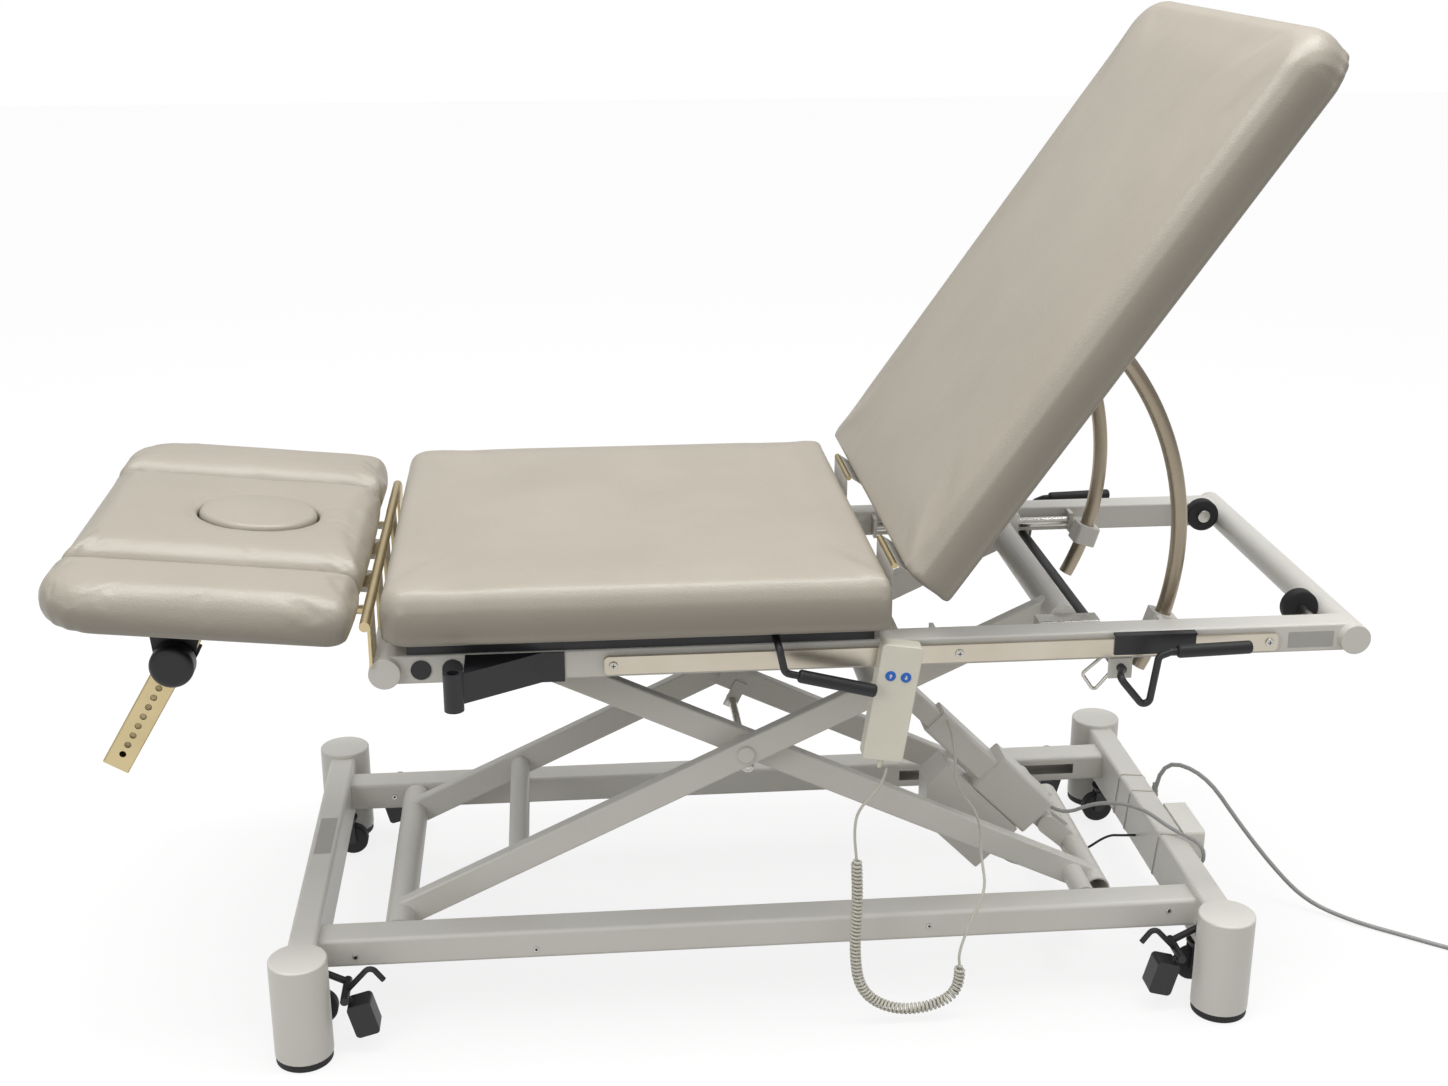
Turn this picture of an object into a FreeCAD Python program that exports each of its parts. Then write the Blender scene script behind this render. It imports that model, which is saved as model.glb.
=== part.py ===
import FreeCAD, Part
import math
import os
from FreeCAD import Vector

# Treatment table with a scissor lift. Millimetres, +Z up, +X towards the back section,
# -Y towards the near side, the floor at Z = 0. Every part is placed from the middle of
# the base, and the finished model is moved along X by base_x.

# Driving dimensions: base
base_x = 59.7
column_x = 646.0
column_y = 336.0
column_d = 80.0
column_top = 156.0
column_wall = 3.0
foot_h = 12.0
foot_d = 78.0
foot_plug_h = 16.0
beam_w = 40.0
beam_h = 80.0
beam_top = 150.0
rail_w = 50.0
rail_h = 44.0
rail_top = 139.0
rail_y = 241.0
tube_wall = 2.5
bar_edge = 6.0
slot_x0 = 279.0
slot_x1 = 576.0
slot_h = 18.0
slide_gap = 0.3
run_gap = 0.06

# Scissor lift: both pairs of arms are alike about the crossing
lift_x = -520.0
lift_low_z = 117.0
lift_top_z = 560.0
lower_half = 553.0
upper_half = 484.4
arm_d = 40.0
arm_w = 20.0
arm_wall = 2.0
vent_in = 75.0
vent_d = 6.0
outer_arm_y = 160.0
inner_arm_y = 125.0
foot_tube_d = 42.0
foot_tube_end = 214.0
foot_tube_bush = 26.0
head_tube_d = 42.0
head_tube_end = 211.0
brace_d = 30.0
brace_s = 190.0
thrust_s = 206.0
thrust_d = 36.0
stub_d = 32.0
stub_end = 205.0
lower_pin_end = 224.0
rear_tube_d = 38.0
rear_tube_step = 36.0
rear_tube_end = 158.0
pivot_pin_d = 16.0
pivot_boss_d = 26.0
pivot_head_t = 4.0
pivot_cap_t = 6.0
head_bolt_d = 20.0
inner_head_tube_d = 38.0
tie_s = 24.0
tie_drop = 33.0
tie_d = 12.0
tie_ball_d = 19.0
tie_lug_w = 20.0
tie_lug_t = 5.0
block_l = 30.0
block_depth = 20.0

# Actuator
clevis_x = 470.0
clevis_z = 138.0
clevis_lug_t = 6.0
clevis_lug_w = 30.0
clevis_pin_d = 12.0
clevis_reach = 40.0
eye_w = 26.0
eye_r = 14.0
cover_d = 68.0
cover_w = 60.0
cover_s0 = 26.0
cover_s1 = 140.0
mid_d = 42.0
mid_w = 46.0
mid_s1 = 262.0
column_rod_d = 30.0
column_rod_w = 34.0
cover_wall = 3.0
motor_s0 = 37.0
motor_s1 = 198.0
motor_n1 = 124.0
motor_w = 62.0
motor_cut = 45.0
motor_body_l = 92.0
column_s0 = 109.0

# Top frame
frame_x0 = -509.0
frame_x1 = 803.0
frame_y = 271.0
frame_s = 40.0
frame_z = 552.0
end_tube_d = 42.0
end_tube_y = 301.0
frame_wall = 2.0
guide_rod_d = 16.0
guide_rod_y = 238.0
guide_rod_x0 = 232.0
guide_rod_x1 = 546.0
guide_plate_t = 6.0
guide_block_l = 85.0
guide_block_h = 34.0
guide_block_z0 = 538.0
guide_block_y0 = 216.5
guide_block_y1 = 249.0
accessory_x0 = -222.0
accessory_x1 = 694.0
accessory_h = 25.0
accessory_t = 6.0
accessory_off = 4.0
accessory_screws = (-210.0, 254.0, 682.0)
socket_x = -417.0
socket_y = -362.0
socket_d = 26.0
socket_bore_d = 16.0
socket_h = 52.0
socket_root_x = -300.0
socket_strip_t = 5.0
socket_strip_h = 42.0
sleeve_x0 = 466.0
sleeve_x1 = 578.0
bumper_x = 758.0
bumper_y = 208.0
bumper_d = 51.0
bumper_w = 18.0
bumper_bolt_d = 12.0
bumper_head_d = 20.0
bumper_head_t = 5.0
stop_plate_t = 8.0
shaft_x = 480.0
shaft_z = 519.0
shaft_d = 20.0
bearing_t = 6.0
bearing_w = 32.0
hook_wire_d = 5.0
hook_wire_y = 280.0
hook_wire = ((462.0, 536.0), (430.0, 507.0), (448.0, 481.0), (469.0, 507.0))
plug_hole_x = (-462.0, -421.0)
plug_hole_d = 27.0
collar_d = 28.0
cap_t = 3.0
back_bar_x0 = 148.0
back_bar_x1 = 178.0
back_bar_z0 = 556.0
seat_bar_x0 = -480.0
seat_bar_x1 = 140.0
seat_bar_y0 = 255.0
seat_bar_y1 = 287.0
release_pin_d = 12.0
screw_d = 12.0
screw_head_t = 2.5
sleeve_h = 34.0
sleeve_t = 3.0
clamp_w = 40.0
clamp_radial = 36.0
clamp_along = 30.0
clamp_arm_w = 18.0

# Cushions
cushion_half = 352.0
seat_x0 = -517.0
seat_x1 = 160.0
seat_bottom = 600.0
seat_h = 82.0
corner_r = 42.0
joint_r = 15.0
crown = 6.0
edge_in = 26.0

# Back section, drawn flat and then raised
back_hinge_x = 170.0
back_hinge_z = 665.0
back_gap = 4.5
back_l = 866.0
back_top_r = 66.0
back_raise = 55.0
arc_r = 410.0
arc_d = 22.0
arc_y = 195.0
arc_low = 27.0
arc_clamp = 17.0
back_bar_w = 25.0
back_bar_h = 18.0
back_bar_y = 235.0
back_bar_l = 720.0
hinge_barrel_d = 8.0
hinge_pin_d = 4.0
hinge_leaf_t = 2.0
hinge_parts = 5
hinge_w = 120.0
hinge_mid_y = 200.0

# Head section, drawn flat and then raised
head_hinge_x = -530.0
head_hinge_z = 622.0
head_gap = 15.0
head_l = 400.0
head_h = 69.0
head_raise = 5.75
head_arm_in = 193.0
head_outer_r = 74.0
head_inner_r = 30.0
plug_x = -706.0
plug_l = 165.0
plug_w = 145.0
plug_gap = 1.2
head_barrel_d = 14.0
head_pin_d = 7.0
head_leaf_t = 4.0
head_tab_t = 8.0
head_bar_back = 36.0
head_hinge_w = 620.0
head_hinge_parts = 9
head_bar_s = 22.0
head_bar_y = 150.0
head_bar_l = 400.0
plug_ledge_t = 6.0
plug_ledge_w = 10.0
pad_gap = 2.0

# Arm rests
post_x = -787.0
post_z = 514.0
post_y = 178.0
post_lean = 25.25
post_w = 38.0
post_t = 20.0
post_down = 184.0
post_hole_d = 9.5
post_pitch = 16.0
post_holes = 9
post_first = 36.0
bracket_t = 5.0
bracket_h = 44.0
shelf_l = 120.0
shelf_w = 120.0
knob_d = 60.0
knob_l = 26.0
plunger_d = 9.0
plunger_gap = 0.3
knob_out = 5.0

# Levers
release_y = 338.0
release_rod_d = 10.0
grip_d = 18.0
head_lever_x = 5.0
head_lever_z = 586.0
head_lever_y = 341.0
head_lever_in = 240.0
release_path = ((465.0, 524.0), (506.0, 474.0), (516.0, 553.0), (532.0, 559.0), (640.0, 562.0))
release_bend = 8.0
grip_start = 8.0
head_grip = ((13.0, 550.0), (132.0, 520.0))

# Hand control
handset_x = 173.0
handset_top = 576.0
handset_w = 56.0
handset_h = 168.0
handset_t = 24.0
handset_lean = 8.4
handset_gap = 1.5
button_d = 14.0
button_h = 3.0
button_step = 21.0
button_drop = 44.0
handset_wall = 2.0
relief_d = 10.0
relief_l = 14.0
hook_x = 182.0
hook_w = 24.0
hook_t = 2.5

# Castors and their pedals, drawn for the corner at +X, +Y and mirrored to the others
pedal_y = 281.0
pedal_axle_z = 112.0
pedal_axle_d = 8.0
pedal_hub_d = 18.0
pedal_hub_w = 10.4
pedal_lug_t = 4.0
pedal_lug_x = 639.0
pedal_rod_d = 10.0
pedal_slot_w = 12.0
pedal_slot_z0 = 85.0
pedal_slot_z1 = 110.0
pedal_bar = (588.0, 82.0)
pedal_bar_d = 12.0
pedal_bar_end = 333.0
pedal_hook = (553.0, 120.0)
pedal_hook_tip = (536.0, 97.0)
pedal_hook_y = 305.0
pedal_hook_bend = 9.0
pedal_block = (564.0, 52.0)
pedal_block_y = 318.0
pedal_block_w = 34.0
pedal_block_d = 32.0
pedal_block_h = 50.0
pedal_block_lean = 15.0
finger_reach = 13.0
finger_d = 7.0
castor_y = 252.0
castor_d = 50.0
castor_w = 20.0
castor_floor_gap = 2.0
castor_trail = 14.0
castor_axle_d = 6.0
fork_plate_t = 3.0
fork_gap = 0.6
crown_d = 36.0
crown_z = 54.5
swivel_race_d = 34.0
swivel_z = 61.0
swivel_gap = 0.4
swivel_pin_d = 10.0
swivel_d = 46.0
swivel_t = 4.0
stem_d = 16.0
stem_top = 104.0
stem_cap_d = 30.0
stem_cap_t = 3.7
guide_d = 26.0
guide_top = 98.0

# Control box and cords
box_l = 102.0
box_h = 50.0
box_t = 34.0
box_y = -34.0
box_top = 151.0
gland_d = 16.0
gland_l = 24.0
mains_d = 7.0
cable_d = 6.0
lead_d = 4.0
curl_d = 16.5
wire_d = 4.0
curl_pitch = 5.85
curl_lead = 11.0
curl_tail = 4.0
coil_r = 50.0
coil_pitch = 7.8
coil_layer = 7.8
coil_layers = 4
coil_turns = 2
coil_climb_share = 0.25
coil_tail = ((22.0, 0.0), (46.0, -14.0), (68.0, -14.0))
plug_body_l = 48.0
plug_body_w = 34.0
plug_body_h = 26.0
plug_pin_d = 4.8
plug_pin_l = 19.0
plug_pin_step = 19.0
drop_route = (
    (157.3, -314.5, 393.9), (153.0, -315.0, 369.0), (118.0, -320.0, 336.0),
    (113.0, -322.0, 304.0), (117.0, -324.0, 262.0))
curl_route = (
    (117.0, -324.0, 262.0), (121.0, -324.0, 200.0), (117.0, -324.0, 122.0), (126.0, -324.0, 52.0),
    (172.0, -324.0, 19.0), (230.0, -324.0, 20.0), (272.0, -324.0, 46.0), (268.0, -324.0, 86.0))
return_route = (
    (268.0, -324.0, 86.0), (266.0, -324.0, 106.0), (281.0, -317.0, 148.0), (306.0, -304.0, 192.0),
    (303.0, -284.0, 227.0), (309.0, -242.0, 231.0), (321.0, -202.0, 229.0), (318.0, -160.0, 248.0),
    (298.0, -120.0, 262.0), (306.0, -82.0, 284.0), (303.6, -46.0, 325.0), (303.6, -23.0, 325.0))
grey_route = [
    (543.0, -34.0, 184.0), (602.0, -62.0, 187.0), (645.0, -88.0, 158.0), (684.0, -129.0, 152.0),
    (684.0, -130.0, 112.0), (684.0, -85.0, 112.0)]
grey_start = ((26.0, -22.0, -5.0), (-12.0, -22.0, -5.0))
black_start = ((36.7, 96.0, 12.0), (7.0, 96.0, 14.0))
black_route = [
    (440.0, 26.0, 44.0), (497.0, 42.0, 36.0), (552.0, 52.0, 50.0), (588.0, 44.0, 82.0),
    (604.0, 20.0, 93.0), (626.0, 19.0, 93.0)]
mains_route = (
    (680.0, 100.0, 108.0), (680.0, 100.0, 186.0), (738.0, 44.0, 188.0), (790.0, 2.0, 112.0),
    (838.0, -42.0, 52.0), (880.0, -75.0, 13.0), (935.0, -125.0, 3.6), (1000.0, -176.0, 3.6),
    (1046.0, -213.0, 3.6), (1112.0, -258.0, 3.6))

overrun = 10.0

# Derived sizes of the lift
rise = math.asin((lift_top_z - lift_low_z) / (lower_half + upper_half))
rise_deg = math.degrees(rise)
cross_x = lift_x + lower_half * math.cos(rise)
cross_z = lift_low_z + lower_half * math.sin(rise)
outer_low = (lift_x, lift_low_z)
inner_low = (2 * cross_x - lift_x, lift_low_z)
outer_top = (cross_x + upper_half * math.cos(rise), lift_top_z)
inner_top = (cross_x - upper_half * math.cos(rise), lift_top_z)
thrust_x = cross_x + thrust_s * math.cos(rise)
thrust_z = cross_z + thrust_s * math.sin(rise)
clevis_far = math.hypot(clevis_x - thrust_x, clevis_z - thrust_z)
push_x = thrust_x + clevis_reach * (clevis_x - thrust_x) / clevis_far
push_z = thrust_z + clevis_reach * (clevis_z - thrust_z) / clevis_far
push_l = math.hypot(push_x - clevis_x, push_z - clevis_z)
push_deg = math.degrees(math.atan2(push_z - clevis_z, push_x - clevis_x))


def box(x0, x1, y0, y1, z0, z1):
    return Part.makeBox(abs(x1 - x0), abs(y1 - y0), abs(z1 - z0), Vector(min(x0, x1), min(y0, y1), min(z0, z1)))


def round_bar(x0, x1, y0, y1, z0, z1, axis, r):
    """A box whose four long edges, along the named axis, are rounded."""
    shape = box(x0, x1, y0, y1, z0, z1)
    way = {"x": Vector(1, 0, 0), "y": Vector(0, 1, 0), "z": Vector(0, 0, 1)}[axis]
    edges = []
    for edge in shape.Edges:
        line = edge.Vertexes[1].Point.sub(edge.Vertexes[0].Point)
        if abs(line.normalize().dot(way)) > 0.9:
            edges.append(edge)
    return shape.makeFillet(r, edges)


def tube_bar(x0, x1, y0, y1, z0, z1, axis, r, wall):
    """A rectangular tube along one axis, open at its ends."""
    outer = round_bar(x0, x1, y0, y1, z0, z1, axis, r)
    inset = {name: wall for name in "xyz"}
    inset[axis] = -overrun
    inner = round_bar(x0 + inset["x"], x1 - inset["x"], y0 + inset["y"], y1 - inset["y"],
                      z0 + inset["z"], z1 - inset["z"], axis, r - wall)
    return outer.cut(inner)


def rod_x(y, z, x0, x1, d):
    return Part.makeCylinder(d / 2, abs(x1 - x0), Vector(min(x0, x1), y, z), Vector(1, 0, 0))


def rod_y(x, z, y0, y1, d):
    return Part.makeCylinder(d / 2, abs(y1 - y0), Vector(x, min(y0, y1), z), Vector(0, 1, 0))


def rod_z(x, y, z0, z1, d):
    return Part.makeCylinder(d / 2, abs(z1 - z0), Vector(x, y, min(z0, z1)))


def fuse(shapes):
    return shapes[0].multiFuse(shapes[1:]).removeSplitter() if len(shapes) > 1 else shapes[0]


def turn(shape, x, z, deg):
    """A copy turned about the Y direction through (x, z); positive lifts the +X side."""
    copy = shape.copy()
    copy.rotate(Vector(x, 0, z), Vector(0, -1, 0), deg)
    return copy


def mirror_y(shape):
    return shape.mirror(Vector(0, 0, 0), Vector(0, 1, 0))


def mirror_x(shape):
    return shape.mirror(Vector(0, 0, 0), Vector(1, 0, 0))


def both_sides(shape):
    return [shape, mirror_y(shape)]


def bend_path(points, bend_r):
    """Straight runs joined by tangent arcs, one radius for all bends or one for each."""
    points = [Vector(*p) for p in points]
    count = len(points) - 2
    radii = [bend_r] * count if not isinstance(bend_r, (list, tuple)) else list(bend_r)
    edges = []
    start = points[0]
    for i in range(1, len(points) - 1):
        before = points[i].sub(points[i - 1]).normalize()
        after = points[i + 1].sub(points[i]).normalize()
        half = math.acos(max(-1.0, min(1.0, before.dot(after)))) / 2
        reach = radii[i - 1] * math.tan(half)
        a = points[i].sub(before * reach)
        b = points[i].add(after * reach)
        inward = after.sub(before).normalize()
        middle = points[i].add(inward * (radii[i - 1] / math.cos(half) - radii[i - 1]))
        edges.append(Part.LineSegment(start, a).toShape())
        edges.append(Part.Arc(a, middle, b).toShape())
        start = b
    edges.append(Part.LineSegment(start, points[-1]).toShape())
    return Part.Wire(edges)


def bent_rod(points, bend_r, d):
    return tube_along(bend_path(points, bend_r), Vector(*points[0]), Vector(*points[1]), d)


def tube_along(path, first, second, d):
    ring = Part.Wire([Part.Circle(first, second.sub(first), d / 2).toShape()])
    return path.makePipeShell([ring], True, False)


def corner_arc(a, corner, b):
    """The arc from a to b that is tangent to both legs of an even corner."""
    if corner.distanceToLine(a, b.sub(a)) < slide_gap / 1000:
        return Part.LineSegment(a, b).toShape()
    half = corner.sub(a).getAngle(b.sub(corner)) / 2
    r = a.distanceToPoint(corner) / math.tan(half)
    inward = a.add(b).multiply(1 / 2).sub(corner).normalize()
    middle = corner.add(inward * (r / math.cos(half) - r))
    return Part.Arc(a, middle, b).toShape()


def biarcs(points, ways):
    """Two arcs between each pair of points, tangent there to the given directions."""
    edges = []
    for a, b, u, v in zip(points, points[1:], ways, ways[1:]):
        span = b.sub(a)
        lean_in = span.dot(u.add(v))
        spread = 2 * (1 - u.dot(v))
        reach = span.dot(span) / (math.sqrt(lean_in ** 2 + spread * span.dot(span)) + lean_in)
        near, far = a.add(u * reach), b.sub(v * reach)
        joint = near.add(far).multiply(1 / 2)
        edges.append(corner_arc(a, near, joint))
        edges.append(corner_arc(joint, far, b))
    return edges


def way_at(curve, t, step):
    return curve(t + step).sub(curve(t - step)).normalize()


def self_gap(path, d, name):
    """Prints the least gap between turns, measured on points a quarter of the wire apart."""
    spots = path.discretize(Number=int(4 * path.Length / d))
    step = path.Length / (len(spots) - 1)
    apart = int(2 * d / step) + 1
    cells = {}
    least = path.Length
    for i, spot in enumerate(spots):
        key = (int(spot.x // (2 * d)), int(spot.y // (2 * d)), int(spot.z // (2 * d)))
        for dx in (-1, 0, 1):
            for dy in (-1, 0, 1):
                for dz in (-1, 0, 1):
                    for j in cells.get((key[0] + dx, key[1] + dy, key[2] + dz), ()):
                        if i - j > apart:
                            least = min(least, spot.distanceToPoint(spots[j]))
        cells.setdefault(key, []).append(i)
    print(name, "length", round(path.Length), "least gap to itself", round(least - d, 2))


def soft_radii(points):
    """The widest bend at each point of a cord: 0.45 of its shorter run."""
    radii = []
    points = [Vector(*p) for p in points]
    for i in range(1, len(points) - 1):
        before = points[i].sub(points[i - 1])
        after = points[i + 1].sub(points[i])
        half = before.getAngle(after) / 2
        radii.append(0.45 * min(before.Length, after.Length) / math.tan(half))
    return radii


def cord(points, d, name):
    radii = soft_radii(points)
    tube = bent_rod(points, radii, d)
    length = bend_path(points, radii).Length
    share = tube.Volume / (math.pi * d * d / 4 * length)
    print(name, "length", round(length), "smallest bend", round(min(radii), 1), "volume share", round(share, 3))
    return tube


def outline(x0, x1, half, z, inset, r0, r1, y0=None):
    """A rectangle with rounded corners: radius r0 at its low X end, r1 at its high X end."""
    low_y = -half if y0 is None else y0
    high_y = half
    x0, x1 = x0 + inset, x1 - inset
    low_y, high_y = low_y + inset, high_y - inset
    r0 = max(r0 - inset, column_wall)
    r1 = max(r1 - inset, column_wall)
    k = 1 - math.sqrt(0.5)
    edges = []

    def line(ax, ay, bx, by):
        edges.append(Part.LineSegment(Vector(ax, ay, z), Vector(bx, by, z)).toShape())

    def arc(ax, ay, mx, my, bx, by):
        edges.append(Part.Arc(Vector(ax, ay, z), Vector(mx, my, z), Vector(bx, by, z)).toShape())

    line(x0 + r0, low_y, x1 - r1, low_y)
    arc(x1 - r1, low_y, x1 - k * r1, low_y + k * r1, x1, low_y + r1)
    line(x1, low_y + r1, x1, high_y - r1)
    arc(x1, high_y - r1, x1 - k * r1, high_y - k * r1, x1 - r1, high_y)
    line(x1 - r1, high_y, x0 + r0, high_y)
    arc(x0 + r0, high_y, x0 + k * r0, high_y - k * r0, x0, high_y - r0)
    line(x0, high_y - r0, x0, low_y + r0)
    arc(x0, low_y + r0, x0 + k * r0, low_y + k * r0, x0 + r0, low_y)
    return Part.Wire(edges)


def cushion(x0, x1, half, z0, height, r0, r1, y0=None, edge=None):
    """An upholstered pad: drawn-in sides, a rolled top edge and a low crown."""
    edge = edge_in if edge is None else edge
    levels_share = (
        (0.0, 0.22), (0.06, 0.04), (0.3, 0.12), (0.62, 0.0), (0.78, 0.05),
        (0.88, 0.22), (0.95, 0.52), (0.985, 0.9))
    wires = []
    for level, inward in levels_share:
        wires.append(outline(x0, x1, half, z0 + level * (height - crown), inward * edge, r0, r1, y0))
    wires.append(outline(x0, x1, half, z0 + height - crown / 3, 2 * edge, r0, r1, y0))
    wires.append(outline(x0, x1, half, z0 + height, 3.2 * edge, r0, r1, y0))
    return Part.makeLoft(wires, True, True)


nodes = {}


def keep(name, shapes):
    shapes = shapes if isinstance(shapes, (list, tuple)) else [shapes]
    solids = []
    for shape in shapes:
        solids.extend(shape.Solids)
    for solid in solids:
        if not solid.isValid() or solid.Volume <= 0:
            print("look at", name, solid.isValid(), round(solid.Volume, 1))
    nodes[name] = solids
    if not solids or min(solid.Volume for solid in solids) <= 0:
        print("nothing sound in", name)


def place(shape, x, z, deg):
    """Moves a shape drawn along +X from the origin to (x, z), raised by deg."""
    copy = shape.copy()
    copy.rotate(Vector(0, 0, 0), Vector(0, -1, 0), deg)
    copy.translate(Vector(x, 0, z))
    return copy


def plate(points, y0, y1):
    """A flat plate in the XZ plane, from y0 to y1."""
    corners = [Vector(px, y0, pz) for px, pz in points]
    wire = Part.makePolygon(corners + corners[:1])
    return Part.Face(wire).extrude(Vector(0, y1 - y0, 0))


def link(ax, az, bx, bz, d, y0, y1):
    """A flat bar with round ends between two points of the XZ plane."""
    length = math.hypot(bx - ax, bz - az)
    deg = math.degrees(math.atan2(bz - az, bx - ax))
    bar = fuse([box(0, length, y0, y1, -d / 2, d / 2), rod_y(0, 0, y0, y1, d), rod_y(length, 0, y0, y1, d)])
    return place(bar, ax, az, deg)


def ring_arc(x, z, y, r, d, a0, a1):
    """Part of a ring about the Y direction, from angle a0 to a1, where 0 points along +X."""
    disc = Part.Face(Part.Wire([Part.Circle(Vector(x + r, y, z), Vector(0, 0, 1), d / 2).toShape()]))
    disc.rotate(Vector(x, y, z), Vector(0, -1, 0), a0)
    return disc.revolve(Vector(x, y, z), Vector(0, -1, 0), a1 - a0)


def pipe_y(x, z, y0, y1, d, wall):
    long_bore = rod_y(x, z, y0 - overrun, y1 + overrun, d - 2 * wall)
    return rod_y(x, z, y0, y1, d).cut(long_bore)


def domed(shape, r, test):
    """Rounds the edges whose middle passes the test."""
    edges = [edge for edge in shape.Edges if test(edge.CenterOfMass)]
    return shape.makeFillet(r, edges)


def hinge_side(x, z, leaf, y_mid, width, parts, first, barrel_d, pin_d, with_pin):
    """A leaf with every second barrel along Y, the first of them at place number first."""
    step = width / parts
    low = y_mid - width / 2
    clear = rod_y(x, z, low - overrun, low + width + overrun, barrel_d + 2 * slide_gap)
    pieces = [leaf.cut(clear)]
    for i in range(first, parts, 2):
        y0 = low + i * step + slide_gap / 2
        y1 = low + (i + 1) * step - slide_gap / 2
        slab = box(x - 2 * barrel_d, x + 2 * barrel_d, y0, y1, z - 2 * barrel_d, z + 2 * barrel_d)
        pieces.append(leaf.common(slab))
        pieces.append(rod_y(x, z, y0, y1, barrel_d))
    if with_pin:
        pieces.append(rod_y(x, z, low, low + width, pin_d))
        return fuse(pieces)
    return fuse(pieces).cut(rod_y(x, z, low - overrun, low + width + overrun, pin_d + 2 * run_gap))


def hinge_tabs(x, z, leaf, y_mid, width, parts, first, barrel_d, pin_d, with_pin):
    """As hinge_side, but the leaf is only as wide as its barrels, so the two sides can pass."""
    step = width / parts
    low = y_mid - width / 2
    pieces = []
    for i in range(first, parts, 2):
        y0 = low + i * step + slide_gap / 2
        y1 = low + (i + 1) * step - slide_gap / 2
        pieces.append(leaf.common(box(x - width, x + width, y0, y1, z - width, z + width)))
        pieces.append(rod_y(x, z, y0, y1, barrel_d))
    if with_pin:
        pieces.append(rod_y(x, z, low, low + width, pin_d))
        return fuse(pieces)
    return fuse(pieces).cut(rod_y(x, z, low - overrun, low + width + overrun, pin_d + 2 * run_gap))


def corners(shape):
    """A piece drawn at +X, +Y and its copies at the other three corners, in a fixed order."""
    return {"right_far": shape, "right_near": mirror_y(shape), "left_far": mirror_x(shape),
            "left_near": mirror_x(mirror_y(shape))}


# Base
def base_columns():
    whole = domed(rod_z(column_x, column_y, foot_h, column_top, column_d), bar_edge / 2,
                  lambda p: p.z > column_top - 1)
    hollow = rod_z(column_x, column_y, 0, column_top - column_wall, column_d - 2 * column_wall)
    return list(corners(whole.cut(hollow)).values())


def base_feet():
    pad = domed(rod_z(column_x, column_y, 0, foot_h, foot_d), foot_h / 4, lambda p: p.z < 1)
    spigot_d = column_d - 2 * column_wall - 2 * run_gap
    spigot = rod_z(column_x, column_y, foot_h, foot_h + foot_plug_h, spigot_d)
    return list(corners(fuse([pad, spigot])).values())


def base_cross_beams():
    half = beam_w / 2
    beam = tube_bar(column_x - half, column_x + half, -column_y, column_y, beam_top - beam_h, beam_top,
                    "y", bar_edge, tube_wall)
    extra = []
    cuts = []
    low = beam_top - beam_h
    for side in (1, -1):
        cuts.append(rod_z(column_x, side * column_y, 0, column_top, column_d))
        extra.append(rod_z(column_x, side * castor_y, low, guide_top, guide_d))
        for near in (-1, 1):
            mid = pedal_y + near * (pedal_hub_w + pedal_lug_t + 2 * slide_gap) / 2
            lug = box(pedal_lug_x, column_x + half - tube_wall, side * (mid - pedal_lug_t / 2),
                      side * (mid + pedal_lug_t / 2), pedal_axle_z - pedal_hub_d / 2 - 3 * slide_gap,
                      pedal_axle_z + pedal_hub_d / 2)
            extra.append(lug)
        axle_half = (pedal_hub_w + 2 * pedal_lug_t) / 2 + slide_gap
        extra.append(rod_y(column_x, pedal_axle_z, side * pedal_y - axle_half, side * pedal_y + axle_half,
                           pedal_axle_d))
        cuts.append(rod_z(column_x, side * castor_y, 0, guide_top + overrun, stem_d + 2 * run_gap))
        cuts.append(box(column_x - half - overrun, column_x - half + overrun,
                        side * pedal_y - pedal_slot_w / 2, side * pedal_y + pedal_slot_w / 2,
                        pedal_slot_z0, pedal_slot_z1))
    beam = fuse([beam] + extra)
    for cut in cuts:
        beam = beam.cut(cut)
    return [beam, mirror_x(beam)]


def base_long_rails():
    half = rail_w / 2
    end = column_x - beam_w / 2
    rail = tube_bar(-end, end, rail_y - half, rail_y + half, rail_top - rail_h, rail_top,
                    "x", bar_edge, tube_wall)
    slot = box(slot_x0, slot_x1, rail_y - half - overrun, rail_y - half + overrun,
               lift_low_z - slot_h / 2, lift_low_z + slot_h / 2)
    inner = rail_y - half
    stub = rod_y(lift_x, lift_low_z, foot_tube_end - foot_tube_bush + run_gap, inner + tube_wall, pivot_pin_d)
    return both_sides(fuse([rail.cut(slot), stub]))


def control_box():
    face = column_x + beam_w / 2
    case = round_bar(face, face + box_t, box_y - box_l / 2, box_y + box_l / 2, box_top - box_h, box_top,
                     "x", bar_edge)
    inner = box(face + tube_wall, face + box_t - tube_wall, box_y - box_l / 2 + tube_wall,
                box_y + box_l / 2 - tube_wall, box_top - box_h + tube_wall, box_top - tube_wall)
    lid_x = face + box_t - 2 * tube_wall
    shell = case.cut(inner)
    lid = shell.common(box(lid_x, face + box_t, -column_y, column_y, 0, column_top))
    tray = shell.common(box(face, lid_x, -column_y, column_y, 0, column_top))
    board = box(face + tube_wall, face + 2 * tube_wall, box_y - box_l / 3, box_y + box_l / 3,
                box_top - box_h + 2 * tube_wall, box_top - 2 * tube_wall)
    gland = box(face, face + gland_l, mains_route[0][1] - gland_d / 2, mains_route[0][1] + gland_d / 2,
                mains_route[0][2] - gland_d, mains_route[0][2])
    return [tray, lid, board, gland]


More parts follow.
